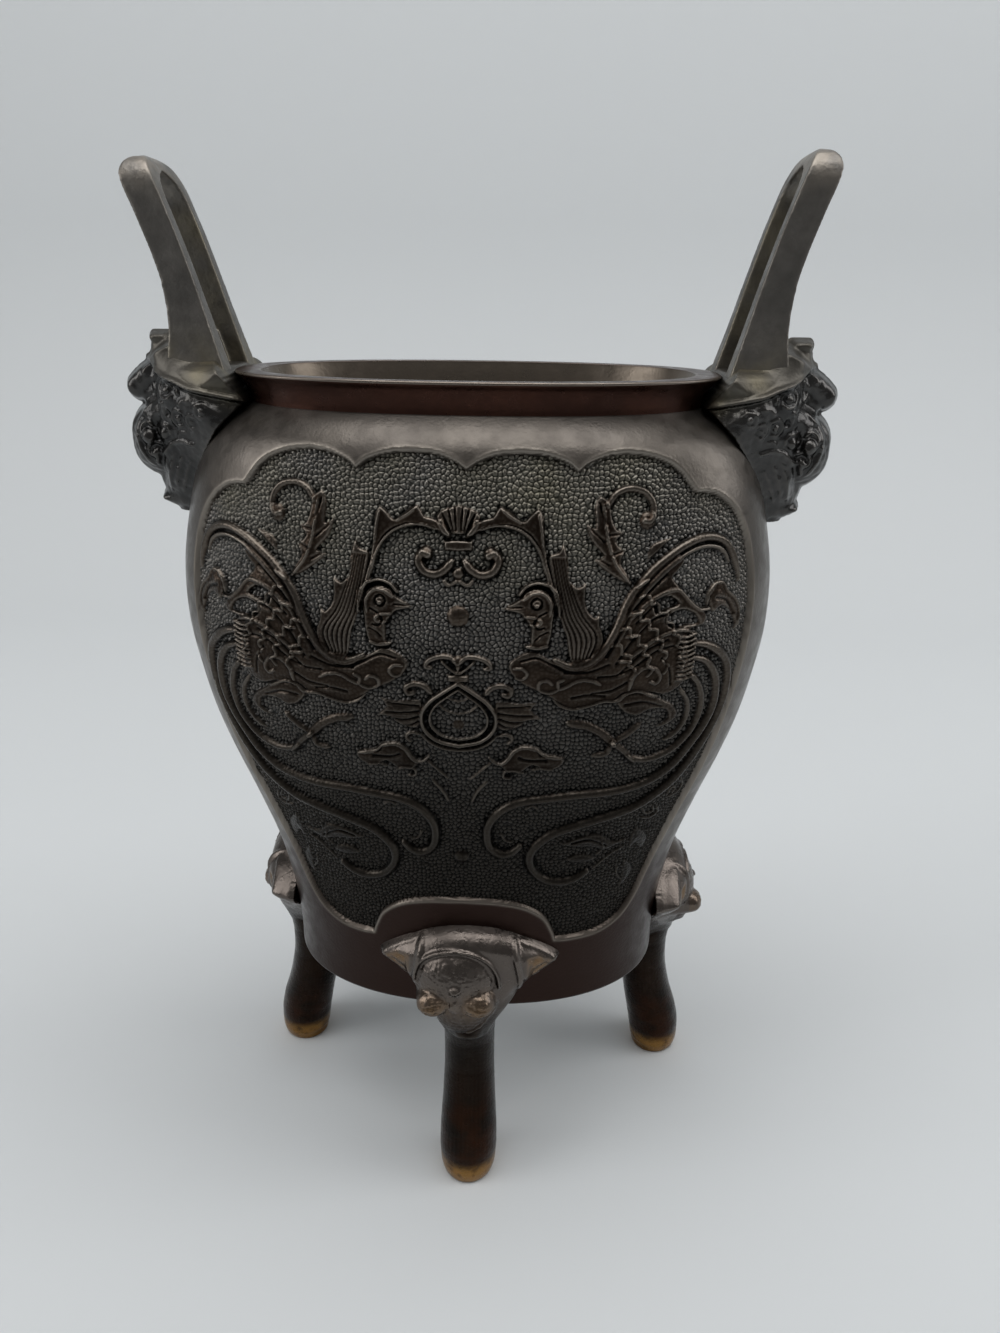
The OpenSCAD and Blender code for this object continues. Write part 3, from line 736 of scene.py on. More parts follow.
def make_body():
    """The front half of the shell with its sunk field."""
    half, height = even_rows(profile, BODY_ROWS)
    points, arc = shell_grid(half, height, BODY_COLS)
    levels = np.repeat(height[:, None], BODY_COLS, axis=1)
    inset = inset_of(field_outline(), arc, levels)
    sunk = FIELD_FLOOR * smoothstep(0, RECESS_RAMP, inset)
    points = points - grid_normals(points) * sunk[..., None]
    # Painted highlight with some wear along the lip just outside the field
    edge = np.exp(-((inset + LIP_HIGHLIGHT_OUTSIDE) / LIP_HIGHLIGHT_WIDTH) ** 2)
    skirt, _ = shell_grid(*np.transpose(SHELL_UNDER), BODY_COLS)
    lip, _ = shell_grid(*np.transpose(SHELL_LIP), BODY_COLS)
    points = np.concatenate((skirt, points, lip))
    below = np.zeros((len(SHELL_UNDER), BODY_COLS))
    above = np.zeros((len(SHELL_LIP), BODY_COLS))
    inset = np.concatenate((below - FAR, inset, above - FAR))
    layers = {"wear_and_highlight": np.concatenate((below, edge, above)),
              # Darker red-brown towards the bottom, partly painted shade
              "foot": np.concatenate((below + 1, smoothstep(*FOOT_SHADE_FADE, levels), above))}
    kept = per_cell(inset, np.maximum) < RECESS_KEPT
    return grid_piece("vessel_front", points, kept, layers)


# Figured field: overlap with the shell, grain on ground and figures, and where a shape counts as raised
PANEL_OVERLAP = 0.9
PANEL_SEED = 7
GROUND_GRAIN = 0.48
FIGURE_GRAIN = 0.05
RAISED_HEIGHT = (0.15, 0.5)
# Wear with painted highlight on crests, and painted shade in hollows: passes of blur that they are measured
# against, and the full difference
CREST_BLUR = 6
CREST_FULL = 0.22
HOLLOW_SHADE_BLUR = 14
HOLLOW_SHADE_FULL = 0.3
# Heights where the painted shade of the lower part and the dust with painted light of the upper part fade
# in
LOW_SHADE_FADE = (165, 90)
DUST_AND_LIGHT_FADE = (146, 172)


def make_panel():
    """The figured field in two halves, which keeps the faces of each piece down."""
    relief = ornament()
    height = both_halves(relief.height)
    across, up = np.meshgrid(relief.across, relief.up)
    arc = both_halves(across, -1) + ORNAMENT_AXIS
    levels = both_halves(up)
    raised = smoothstep(*RAISED_HEIGHT, height)
    pebbles = grain(arc, levels, PANEL_SEED)
    lift = height + GROUND_GRAIN * pebbles * (1 - raised) + FIGURE_GRAIN * pebbles * raised
    base = front_points(arc, half_width(relief.up), relief.up)
    points = base + grid_normals(base) * (lift - FIELD_SINK)[..., None]
    kept = per_cell(inset_of(field_outline(), arc, levels), np.minimum) > -PANEL_OVERLAP
    layers = {
        # Crests get wear with painted highlight, hollows get painted shade, the lower field gets painted
        # shade and the upper ground dust with painted light
        "wear_and_highlight": np.clip((lift - blur(lift, CREST_BLUR)) / CREST_FULL, 0, 1),
        "hollow_shade": np.clip((blur(lift, HOLLOW_SHADE_BLUR) - lift) / HOLLOW_SHADE_FULL, 0, 1),
        "raised": raised,
        "low": smoothstep(*LOW_SHADE_FADE, levels),
        "dust": smoothstep(*DUST_AND_LIGHT_FADE, levels),
    }
    middle = len(relief.across) - 1
    halves = (("front_relief_left", slice(0, middle + 1), slice(0, middle)),
              ("front_relief_right", slice(middle, None), slice(middle, None)))
    pieces = []
    for name, cols, cells in halves:
        part = {key: values[:, cols] for key, values in layers.items()}
        pieces.append(grid_piece(name, points[:, cols], kept[:, cells], part))
    return pieces


def ring_piece(name, outline, cols, layers):
    """A closed ring round the vessel's plan from an outline of half widths and heights."""
    turn = np.linspace(0, 2 * math.pi, cols, endpoint=False)
    sin, cos = np.sin(turn), np.cos(turn)
    x = np.sign(sin) * np.abs(sin) ** (2 / PLAN_POWER)
    y = -np.sign(cos) * np.abs(cos) ** (2 / PLAN_POWER)
    points = np.zeros((len(outline), cols, 3))
    for i, (wide, z) in enumerate(outline):
        points[i, :, 0] = wide * x
        points[i, :, 1] = wide * depth_ratio(z) * y
        points[i, :, 2] = z
    spread = {key: np.repeat(values[:, None], cols, axis=1) for key, values in layers.items()}
    return grid_piece(name, points, None, spread, wrap=True)


# Rim collar in section, one row per smooth run, as half width and height
COLLAR_RUNS = (
    ((46.8, 184), (46.9, 185.2), (47.5, 186.8), (48.6, 188.3), (49.7, 189.2)),
    ((49.7, 189.2), (50, 189.5), (50, 189.8), (49.7, 190)),
    ((49.7, 190), (47.5, 190.05), (45.1, 190)),
    ((45.1, 190), (44.8, 189.9), (44.7, 189.6)),
    ((44.7, 189.6), (43.8, 187), (42.4, 182), (41.3, 176)),
    ((41.3, 176), (43.6, 176.2), (43.8, 183), (46.8, 184)),
)
COLLAR_COLS = 360
# Worn corners of its flat top, lightened as wear and painted highlight: height, half widths with the
# strength of the wear, and the reach
RIM_TOP = 189.9
RIM_CORNERS = ((49.85, 1.0), (44.85, 0.6))
RIM_REACH = (0.4, 0.45)
MOUTH_HALF = 44.75


def make_collar():
    outline = joined_runs(COLLAR_RUNS, CURVE_STEPS)
    half, height = outline.T
    wear_and_highlight = np.zeros(len(outline))
    for corner, share in RIM_CORNERS:
        near = (np.abs(half - corner) < RIM_REACH[0]) & (np.abs(height - RIM_TOP) < RIM_REACH[1])
        wear_and_highlight[near] = share
    inner = np.where(half < MOUTH_HALF, 1.0, 0.0)
    return ring_piece("rim", outline, COLLAR_COLS, {"wear_and_highlight": wear_and_highlight, "inner": inner})


# Ledge at the foot of the inside wall, over the edge of the floor plate
FLOOR_LEDGE = 2.5
INSIDE_LEVELS = (52.3, 178)
INSIDE_ROWS = 60
INSIDE_COLS = 200
INSIDE_NECK = ((43.9, 180.8), (43.9, 183.6))


def make_inside():
    levels = np.linspace(*INSIDE_LEVELS, INSIDE_ROWS)
    outline = [(half_width(levels[0]) - WALL - FLOOR_LEDGE, levels[0])]
    outline += [(half_width(z) - WALL, z) for z in levels]
    outline += INSIDE_NECK
    return ring_piece("vessel_inside", np.array(outline[::-1]), INSIDE_COLS, {})


# Modelled pieces: solids joined, remeshed and smoothed

# Where a rod's rings start: any direction that no rod follows
RING_START = (0.31, 0.47, 0.83)
SOFTENING = 0.5


def tube(bm, points, radii, sides):
    """A round rod along a smooth path, with its own radius at each point."""
    path = smooth_path(points)
    spots = np.linspace(0, 1, len(radii))
    widths = np.interp(np.linspace(0, 1, len(path)), spots, radii)
    tangents = np.gradient(path, axis=0)
    side = Vector(RING_START)
    rings = []
    for centre, tangent, radius in zip(path, tangents, widths):
        forward = Vector(tangent).normalized()
        side = (side - forward * side.dot(forward)).normalized()
        other = forward.cross(side)
        ring = []
        for k in range(sides):
            angle = 2 * math.pi * k / sides
            offset = (side * math.cos(angle) + other * math.sin(angle)) * radius
            ring.append(bm.verts.new((Vector(centre) + offset) * MM))
        rings.append(ring)
    for low, high in zip(rings[:-1], rings[1:]):
        for k in range(sides):
            after = (k + 1) % sides
            bm.faces.new((low[k], low[after], high[after], high[k]))
    bm.faces.new(rings[0][::-1])
    bm.faces.new(rings[-1])


def sheet_solid(bm, front, back, inside):
    """Adds the solid between two grids of points, where inside is true."""
    count = inside.size
    quads = cell_corners(*inside.shape)[per_cell(inside, np.logical_and)]
    edges = {tuple(edge) for k in range(4) for edge in quads[:, (k, (k + 1) % 4)].tolist()}
    points = np.concatenate((front.reshape(-1, 3), back.reshape(-1, 3)))
    faces = quads.tolist() + (quads[:, ::-1] + count).tolist()
    faces += [(b, a, a + count, b + count) for a, b in edges if (b, a) not in edges]
    mesh = bpy.data.meshes.new("sheets")
    mesh.from_pydata((points * MM).tolist(), [], faces)
    bm.from_mesh(mesh)
    bpy.data.meshes.remove(mesh)


def solid_object(name, bm):
    """An object from a finished solid, with its faces turned outward."""
    bmesh.ops.recalc_face_normals(bm, faces=bm.faces)
    mesh = bpy.data.meshes.new(name)
    bm.to_mesh(mesh)
    bm.free()
    return add_object(name, mesh)


def fused(name, bm, voxel, rounds):
    """One skin over everything in the solid, smoothed."""
    obj = solid_object(name, bm)
    remesh = obj.modifiers.new("skin", "REMESH")
    remesh.mode = "VOXEL"
    remesh.voxel_size = voxel * MM
    soften = obj.modifiers.new("soften", "SMOOTH")
    soften.factor = SOFTENING
    soften.iterations = rounds
    bpy.context.view_layer.update()
    done = bpy.data.meshes.new_from_object(obj.evaluated_get(bpy.context.evaluated_depsgraph_get()))
    obj.modifiers.clear()
    obj.data = done
    done.name = name
    shade_smooth(done)
    return obj


def mesh_points(mesh):
    """The mesh's points in millimetres."""
    places = np.zeros(len(mesh.vertices) * 3)
    mesh.vertices.foreach_get("co", places)
    return places.reshape(-1, 3) / MM


def mesh_normals(mesh):
    normals = np.zeros(len(mesh.vertices) * 3)
    mesh.vertex_normals.foreach_get("vector", normals)
    return normals.reshape(-1, 3)


def set_points(mesh, points):
    mesh.vertices.foreach_set("co", (points * MM).reshape(-1))
    mesh.update()


def set_layer(mesh, key, values):
    layer = mesh.attributes.get(key) or mesh.attributes.new(key, "FLOAT", "POINT")
    layer.data.foreach_set("value", np.asarray(values, np.float32))


def edge_wear_light_and_shade(mesh, reach, gain):
    """Marks outward edges with wear and painted highlight, and inward ones with painted shade."""
    edges = np.zeros(len(mesh.edges) * 2, int)
    mesh.edges.foreach_get("vertices", edges)
    first, second = edges.reshape(-1, 2).T
    points = mesh_points(mesh)
    count = np.bincount(first, minlength=len(points)) + np.bincount(second, minlength=len(points))
    count = np.maximum(count, 1)[:, None]
    soft = points
    for _ in range(reach):
        total = np.zeros_like(points)
        for axis in range(3):
            total[:, axis] = (np.bincount(first, soft[second, axis], len(points))
                              + np.bincount(second, soft[first, axis], len(points)))
        soft = 0.5 * soft + 0.5 * total / count
    proud = np.einsum("ij,ij->i", points - soft, mesh_normals(mesh))
    set_layer(mesh, "wear_and_highlight", np.clip(proud * gain, 0, 1))
    set_layer(mesh, "hollow_shade", np.clip(-proud * gain, 0, 1))


def hull(bm, points):
    """The smallest convex solid round the points."""
    verts = [bm.verts.new(Vector(point) * MM) for point in points]
    bmesh.ops.convex_hull(bm, input=verts)


def line_gap(points, start, end):
    """Distance of points to a straight line between two ends."""
    start, end = np.array(start, float), np.array(end, float)
    along = np.clip((points - start) @ (end - start) / np.sum((end - start) ** 2), 0, 1)
    return np.linalg.norm(points - start - along[:, None] * (end - start), axis=1)


# A handle loop by height: its inner and outer face, as distance from the axis, and its half width
LOOP_INNER = smooth_path(((187, 49.4), (191, 50.4), (200, 53), (208, 55.3), (216, 57.8), (223, 60.3),
                          (227, 62.2), (228.4, 63.8)))
LOOP_OUTER = smooth_path(((187, 62), (191, 61.6), (198, 60.8), (205, 61.2), (211, 62.6), (217, 64.6),
                          (223, 66.8), (226, 67.2), (227.8, 66), (228.4, 64.2)))
LOOP_HALF = smooth_path(((187, 11.2), (191, 10.7), (198, 9.9), (206, 9.3), (222.4, 8.9)))
LOOP_TOP = 228.4
LOOP_CORNER = 6
SLOT_HALF = 5.8
SLOT_CROWN = 220
SLOT_SILL = 196.4
GROOVE_DEPTH = 4
RIGHT_STRETCH = 1.06
BAR_OVERLAP = 0.02
LOOP_LEVELS = 90
# Skin of the loop: voxel size, rounds of smoothing, and reach and gain of the edge wear with painted
# highlight and of the painted shade in hollows
LOOP_VOXEL = 0.3
LOOP_ROUNDS = 5
LOOP_EDGE_MARKS = (12, 2.2)
# Where a loop's top is rubbed bright, as wear and painted highlight, and where dust sits: in the slot,
# below its crown, and at the foot
RUBBED_AND_HIGHLIGHT_FADE = (219, 227)
SLOT_FADE = (SLOT_HALF + 0.8, SLOT_HALF + 0.2)
CROWN_FADE = (SLOT_CROWN + 6, SLOT_CROWN)
FOOT_DUST_FADE = (200, 192)
SLOT_DUST = 0.5
FOOT_DUST = 0.4


def loop_level(height):
    """Inner face, outer face, half width and half slot of a loop at one height."""
    inner = lookup(height, LOOP_INNER)
    outer = lookup(height, LOOP_OUTER)
    half = lookup(height, LOOP_HALF)
    over = height - (LOOP_TOP - LOOP_CORNER)
    if over > 0:
        half += math.sqrt(max(LOOP_CORNER ** 2 - over ** 2, 0)) - LOOP_CORNER
    slot = math.sqrt(max(SLOT_HALF ** 2 - max(height - SLOT_CROWN, 0) ** 2, 0))
    return inner, outer, half, slot


def make_loop():
    """A loop on the right side; its slot runs on downward as a groove in the inner face."""
    bm = bmesh.new()
    levels = np.linspace(LOOP_INNER[0][0], LOOP_TOP, LOOP_LEVELS)
    for low, high in zip(levels[:-1], levels[1:]):
        bars = {-1: [], 1: []}
        web = []
        for z in (low, high):
            inner, outer, half, slot = loop_level(z)
            for side, points in bars.items():
                points += [(x, side * y, z) for x in (inner, outer) for y in (slot - BAR_OVERLAP, half)]
            web += [(x, y, z) for x in (inner + GROOVE_DEPTH, outer) for y in (-slot, slot)]
        for points in bars.values():
            hull(bm, points)
        if low < SLOT_SILL:
            hull(bm, web)
    obj = fused("plain_loop", bm, LOOP_VOXEL, LOOP_ROUNDS)
    edge_wear_light_and_shade(obj.data, *LOOP_EDGE_MARKS)
    _, y, z = mesh_points(obj.data).T
    in_slot = smoothstep(*SLOT_FADE, np.abs(y)) * smoothstep(*CROWN_FADE, z)
    foot = smoothstep(*FOOT_DUST_FADE, z)
    # Rubbed wear with painted highlight on the loop's top
    set_layer(obj.data, "rubbed_and_highlight", smoothstep(*RUBBED_AND_HIGHLIGHT_FADE, z))
    set_layer(obj.data, "dust", np.maximum(SLOT_DUST * in_slot, FOOT_DUST * foot))
    return obj


# Handle pins: distance from the axis, height, half length, radius, sides
PIN_ACROSS = 58
PIN_UP = 193.2
PIN_HALF = 10.2
PIN_RADIUS = 1.2
PIN_SIDES = 16


def make_pins():
    """Both handle pins; each ends inside the hood."""
    bm = bmesh.new()
    for side in (-1, 1):
        path = [(side * PIN_ACROSS, y, PIN_UP) for y in (-PIN_HALF, 0, PIN_HALF)]
        tube(bm, path, (PIN_RADIUS, PIN_RADIUS), PIN_SIDES)
    return solid_object("pins", bm)


def stretched_copy(obj, name):
    """The same loop a little taller, as its fellow is."""
    copy = own_copy(obj, name)
    points = mesh_points(copy.data)
    above = np.maximum(points[:, 2] - SLOT_SILL, 0)
    points[:, 2] += above * (RIGHT_STRETCH - 1)
    set_points(copy.data, points)
    return copy


# A mask seen from the side. Across is the distance from the axis, up is the height.
MASK_ACROSS = (43.5, 76)
MASK_UP = (160, 199.5)
MASK_BACK = ((160, 61.6), (163, 60), (168, 58.5), (174, 55), (179, 51), (183, 47.3), (184.2, 45.5),
             (190.8, 50.7), (192.5, 52.6), (196, 54))
HOOD_RIDGE = smooth_path(((45.5, 184.2), (54.6, 186.2), (57, 186.9), (60, 188), (63, 188.8),
                          (66.4, 190.6), (68, 191.6)))
HOOD_WIDTH = smooth_path(((45.5, 13.6), (50, 15.6), (54.6, 16.4), (60, 14.4), (63, 11.8), (66.4, 6.6),
                          (68, 4.6)))
HOOD_FOOT = smooth_path(((45.5, 188.4), (50, 190.4), (61, 194.2), (68, 195.8)))
FACE_EDGE = ((160.6, 66), (161.6, 68.4), (163, 69.2), (164, 68.6), (166, 69.2), (169, 69.8), (172, 71),
             (177, 71.6), (180, 71.2), (182.6, 70.2), (184.4, 69), (188, 69.2), (191, 68.6), (194, 66))
HEAD_WIDTH = ((160.5, 5.2), (164, 6.4), (168, 8.2), (174, 8.4), (180, 9.4), (184, 10.6), (190, 9), (193, 5),
              (194, 0))
HEAD_SPREAD = ((161, 0.1), (167, 0.2), (174, 0.46), (180.6, 0.52), (186, 0.5), (191, 0.4), (193, 0))
MASK_TIP = 75
GROOVE_FOOT = 190.4
GROOVE_BACK = 56.6
GROOVE_HALF = 6.6
NOSE_ROUND = 5
WIDEST = 17
FACE_ROUND = 6.5
LOOP_FACE = 9.6
# How the hood curves up to the loop
HOOD_CURVE = 0.6
# How fast it thins out above its foot, further up, below its edge and past its outer slope
THIN_ABOVE = 1.2
THIN_HIGH = 9
HIGH_FROM = 1.4
THIN_BELOW = 5
THIN_OUTSIDE = 4
# Outer slope of the hood, as a point and a normal
SLOPE_AT = (61.2, 194.6)
SLOPE_NORMAL = (0.453, 0.891)
# The head spreads inward from its front, and draws back in a notch below the hood's edge
HEAD_FRONT = 66
HOOD_MARGIN = 0.2
NOTCH_DEPTH = 1.6
NOTCH_HEIGHT = 2.2
# Rounded masses of the head: path, then reach and half thickness at its start and its end
MASK_RODS = (
    (((67.4, 176.2), (67.4, 174)), (6.8, 6.8), (8.3, 8.1)),
    (((64.6, 181.2), (66.6, 179.8)), (4.6, 4.6), (9.6, 8.4)),
    (((65.4, 188.6), (68.6, 188), (71.6, 185.8)), (2.9, 2.6), (4.8, 3.2)),
    (((66.6, 185.4), (69.6, 184.4)), (2.4, 1.9), (5, 3)),
    (((66, 190.4), (65.8, 193.4)), (2.8, 2.2), (3, 2.6)),
    (((64.6, 195.6), (67, 195.6)), (1.0, 1.0), (2.8, 2.8)),
    (((62.4, 161.9), (68.4, 162.7)), (1.0, 0.9), (6.2, 4.6)),
)

# Raised lines of the mask: points, width, height
MASK_LINES = (
    # edge of the hood
    (((45.8, 184.4), (50, 185.5), (54.6, 186.5), (57, 187.1), (60, 188.2), (63, 189), (66.4, 190.8)),
     1.2, 0.9),
    (((61.2, 194.5), (64.4, 193.2), (67.4, 191.3)), 1.0, 0.35),
    # eye with its lids
    (((60.2, 186.6), (61.2, 187.8), (62.8, 187.8), (63.8, 186.6), (63.2, 185), (61.6, 184.6),
      (60.4, 185.4)), 0.9, 0.8),
    (((59, 185.4), (59.2, 187), (60.4, 188.2)), 0.7, 0.5),
    (((64, 188.8), (65.3, 187.6), (65.6, 185.8), (64.8, 184.2), (63, 183.4)), 0.9, 0.7),
    (((66, 189.6), (67.2, 188), (67.2, 186.2), (66.2, 184.6)), 0.8, 0.6),
    # wing of the nose
    (((65.6, 190.2), (67, 190.6), (68.6, 189.8), (69.4, 188.4)), 0.9, 0.7),
    # muzzle
    (((67, 183.2), (69.6, 181.2), (70.9, 178.6), (71.1, 175.6), (70, 172.4), (68.4, 170.2)), 1.1, 0.6),
    (((62.4, 177), (63, 178.8), (64.8, 179.2), (65.9, 177.8), (65.2, 176.2)), 0.9, 0.7),
    (((66.8, 178.2), (68.2, 179.4), (69.8, 178.6), (70, 176.6), (68.6, 175.6)), 0.9, 0.7),
    (((65.6, 175), (67, 175.4), (68.6, 174.4), (68.4, 172.8), (67, 172.4)), 0.8, 0.6),
    # jaw
    (((57.4, 175.4), (60, 176), (62.6, 175.4), (64.4, 173.8), (66.4, 172.8), (67.6, 170.6)), 1.1, 0.6),
    # curls of the cheek
    (((52, 183.2), (53.6, 184), (55, 183.2), (54.8, 181.6), (53.4, 181.4)), 0.9, 0.4),
    (((55.2, 181), (56.8, 181.6), (57.8, 180.2), (56.8, 178.8), (55.8, 179.2)), 0.9, 0.4),
    (((58.4, 181.8), (60, 182.4), (61.2, 181), (60.4, 179.2), (59, 179.4)), 0.9, 0.4),
    (((56.4, 184.4), (58, 184.4), (59, 183.2)), 0.8, 0.35),
    (((58.4, 177.8), (59.8, 178), (60.8, 176.8)), 0.7, 0.35),
    # hair of the neck
    (((58.6, 172.6), (60.6, 169.2), (62.6, 165)), 0.8, 0.25),
    (((60.6, 173.4), (62.6, 169.4), (64.2, 164.6)), 0.8, 0.25),
    (((62.8, 173), (64.6, 169.2), (65.8, 164.6)), 0.8, 0.25),
    (((65, 171.8), (66.6, 168.6), (67.2, 164.6)), 0.8, 0.25),
)

# Round bumps and pits of the mask: place, radius, height
MASK_BEADS = (
    (61.9, 186.3, 1.0, 1.0), (64.6, 189.4, 1.1, 0.7), (53.9, 182.6, 0.6, 0.5), (56.6, 180.2, 0.6, 0.5),
    (68.2, 176.4, 1.7, 1.3), (64.2, 177.4, 1.3, 1.1), (67, 173, 1.1, 0.9), (59.8, 180.6, 0.7, 0.7),
)
MASK_PITS = ((66.2, 187.2, 0.8, 0.7), (62.2, 181.6, 0.8, 0.7))
MASK_TAPER = 0.4
# Thickness over which lines fade in, and the lumps that the face has below the hood
LINE_FADE = (0.5, 3)
MASK_BLUR = 5
MASK_SEED = 3
LUMP_BLUR = 6
LUMP_HEIGHT = 0.5
LUMP_FADE = (0, -1.5)
# Both sides of the head overlap in the middle, and end where the skin gets too thin
MIDDLE_OVERLAP = 0.2
THINNEST = 0.3
MASK_VOXEL = 0.26
MASK_ROUNDS = 2
MASK_EDGE_MARKS = (14, 2.2)
HOOD_FADE = (-0.4, 0.8)
# Dusty places of the hood: start and end of a line, reach, strength
MASK_DUST = (
    ((49, 11, 190), (58, 11, 193.4), 1.5, 0.8),
    ((46, 12.5, 185), (54, 13.5, 189), 3, 0.6),
)


def rod(across, up, points, reach, thick):
    """Half thickness of a rounded rod along a path; reach and thick hold a start and an end value."""
    gap, along = path_distance(smooth_path(points, RIDGE_STEPS), across, up)
    radius = reach[0] + (reach[1] - reach[0]) * along
    width = thick[0] + (thick[1] - thick[0]) * along
    return width * np.sqrt(np.clip(1 - (gap / radius) ** 2, 0, 1))


def mask_form(across, up):
    """Half thickness of the beast's head, without its fine lines."""
    ridge = lookup(across, HOOD_RIDGE)
    wide = lookup(across, HOOD_WIDTH)
    foot = lookup(across, HOOD_FOOT)
    rise = np.clip((up - ridge) / (foot - ridge), 0, 1)
    past_slope = SLOPE_NORMAL[0] * (across - SLOPE_AT[0]) + SLOPE_NORMAL[1] * (up - SLOPE_AT[1])
    hood = wide + (np.minimum(LOOP_FACE, wide) - wide) * rise ** HOOD_CURVE
    hood -= THIN_ABOVE * np.maximum(up - foot, 0) + THIN_HIGH * np.maximum(up - foot - HIGH_FROM, 0)
    hood -= THIN_BELOW * np.maximum(ridge - up, 0)
    hood -= THIN_OUTSIDE * np.maximum(past_slope, 0)
    notch = NOTCH_DEPTH * np.exp(-((ridge - up) / NOTCH_HEIGHT) ** 2)
    inward = np.clip((lookup(up, FACE_EDGE) - across) / FACE_ROUND, 0, 1)
    head = lookup(up, HEAD_WIDTH) + np.maximum(HEAD_FRONT - across, 0) * lookup(up, HEAD_SPREAD)
    head = np.minimum(head, np.minimum(WIDEST, wide + HOOD_MARGIN - notch))
    head *= np.sqrt(1 - (1 - inward) ** 2)
    rods = [rod(across, up, *row) for row in MASK_RODS]
    return np.maximum.reduce([hood, head] + rods)


def mask_half(across, up, carving):
    """Half thickness of the beast's head with its lines and lumps."""
    form = blur(mask_form(across, up), MASK_BLUR)
    share = smoothstep(*LINE_FADE, form)
    half = form + share * carving
    rng = np.random.default_rng(MASK_SEED)
    lumps = blur(rng.standard_normal(form.shape), LUMP_BLUR)
    below = smoothstep(*LUMP_FADE, up - lookup(across, HOOD_RIDGE))
    half += share * below * LUMP_HEIGHT * lumps
    return np.where(half < NOSE_ROUND, np.sqrt(np.maximum(half, 0) * NOSE_ROUND), half)


def make_mask():
    """A beast's head under a sloping hood, looking outward along +X, alike on both sides."""
    lines = Relief(MASK_ACROSS, MASK_UP)
    for points, width, height in MASK_LINES:
        lines.ridge(points, width, height, MASK_TAPER, MASK_TAPER)
    for bead in MASK_BEADS:
        lines.bead(*bead)
    pits = Relief(MASK_ACROSS, MASK_UP)
    for pit in MASK_PITS:
        pits.bead(*pit)
    across, up = np.meshgrid(lines.across, lines.up)
    half = mask_half(across, up, lines.height - pits.height)
    in_groove = (up > GROOVE_FOOT) & (across < GROOVE_BACK)
    inner = np.where(in_groove, GROOVE_HALF, -MIDDLE_OVERLAP)
    inside = (half > inner + THINNEST) & (across > lookup(up, MASK_BACK)) & (across < MASK_TIP)
    bm = bmesh.new()
    for side in (-1, 1):
        outer_sheet = np.stack((across, side * half, up), axis=-1)
        inner_sheet = np.stack((across, side * inner, up), axis=-1)
        sheet_solid(bm, outer_sheet, inner_sheet, inside)
    obj = fused("right_mask", bm, MASK_VOXEL, MASK_ROUNDS)
    edge_wear_light_and_shade(obj.data, *MASK_EDGE_MARKS)
    mark_mask(obj.data)
    return obj


def mark_mask(mesh):
    """Layers for the hood's tone and its dust."""
    points = mesh_points(mesh)
    over_ridge = points[:, 2] - lookup(points[:, 0], HOOD_RIDGE)
    points[:, 1] = np.abs(points[:, 1])
    dust = [strength * np.exp(-(line_gap(points, start, end) / reach) ** 2)
            for start, end, reach, strength in MASK_DUST]
    set_layer(mesh, "dust", np.maximum.reduce(dust))
    set_layer(mesh, "hood", smoothstep(*HOOD_FADE, over_ridge))


# A leg's head seen from the front, as distance from the middle and height; its dome sits off the middle
HEAD_EDGE = ((0, 73.4), (5, 73), (10, 71.6), (13, 70), (16, 68.4), (19.4, 66),
             (21.6, 63.4), (20.6, 61.4), (18, 59), (13.8, 55.4), (11.8, 52.4),
             (10.2, 50.4), (7.9, 46.6), (6.2, 42.6))
HEAD_ACROSS = (-23, 23)
HEAD_LEVELS = (42, 76)
DOME_AXIS = -2.6
MUZZLE_AXIS = -1.3
FUNNEL_WIDTH = ((42.4, 6.2), (46.6, 7.9), (50.4, 10.2), (55, 12), (59, 12.4))
FUNNEL_FRONT = ((42.4, 9.4), (46.6, 10.6), (52, 11.6), (59, 11.6))
FUNNEL_TOP = 59
FUNNEL_BACK = 5
HEAD_STEPS = 4
HEAD_ROUND = 2
EAR = np.array(((13.4, 65.6), (16.2, 65.4), (19.4, 63.4), (18.6, 61.4), (16.4, 59.4), (13.8, 57.2)))
EAR_DEPTH = 1.5
EAR_EDGE = (0, 1.4)
# Cowl behind the face: how far it stands out, its fall to the sides and its rounded edge
COWL_BASE = 4.8
COWL_FALL = 2.2
COWL_FALL_AT = (4, 20)
COWL_RISE = 5.6
COWL_ROUND = 5
# Bumps of the face: centre, radii, level at the edge, rise; the last ones lie about the dome's axis
MUZZLE = ((MUZZLE_AXIS, 52.4), (6.4, 6.6), 9.8, 4.2)
DOME_BUMPS = (
    ((0, 59.2), (9.6, 9.2), 7, 6.8),
    ((5.1, 55.7), (4.1, 3.3), 11.6, 3.5),
    ((0, 60.4), (1.6, 1.2), 13, 1.8),
    ((0, 56), (1.6, 2.2), 13, 1.4),
)
COWL_LINES = (
    # fold between dome and ear
    (((10.6, 69.6), (11.4, 64.8), (12.2, 60), (12, 55.8)), 1.5, 0.9),
    # edge of the ear
    (((12, 69), (16, 67), (20.2, 63.5), (18.6, 60.6), (13.8, 56.4)), 1.3, 0.7),
)
FACE_LINES = (
    # rim of the dome
    (((0, 68.8), (4, 68.1), (7.4, 66), (9.4, 62.6), (10, 58.6)), 0.9, 1.0),
    # cheek below the lobe
    (((9.4, 56), (8.6, 52.4), (6, 49.2), (2.4, 47.6)), 1.0, 0.6),
)
LOBE_SLITS = (
    (((3.2, 57), (5, 56.2), (7.2, 55.8)), 0.7, 0.7),
    (((3.6, 54.8), (5.2, 54.2), (6.8, 54.4)), 0.7, 0.7),
)
HEAD_TAPER = 0.5
HEAD_BLUR = 2
# Stipple of the head, strong on the face
STIPPLE_SEED = 5
FACE_STIPPLE = 0.4
COWL_STIPPLE = 0.04
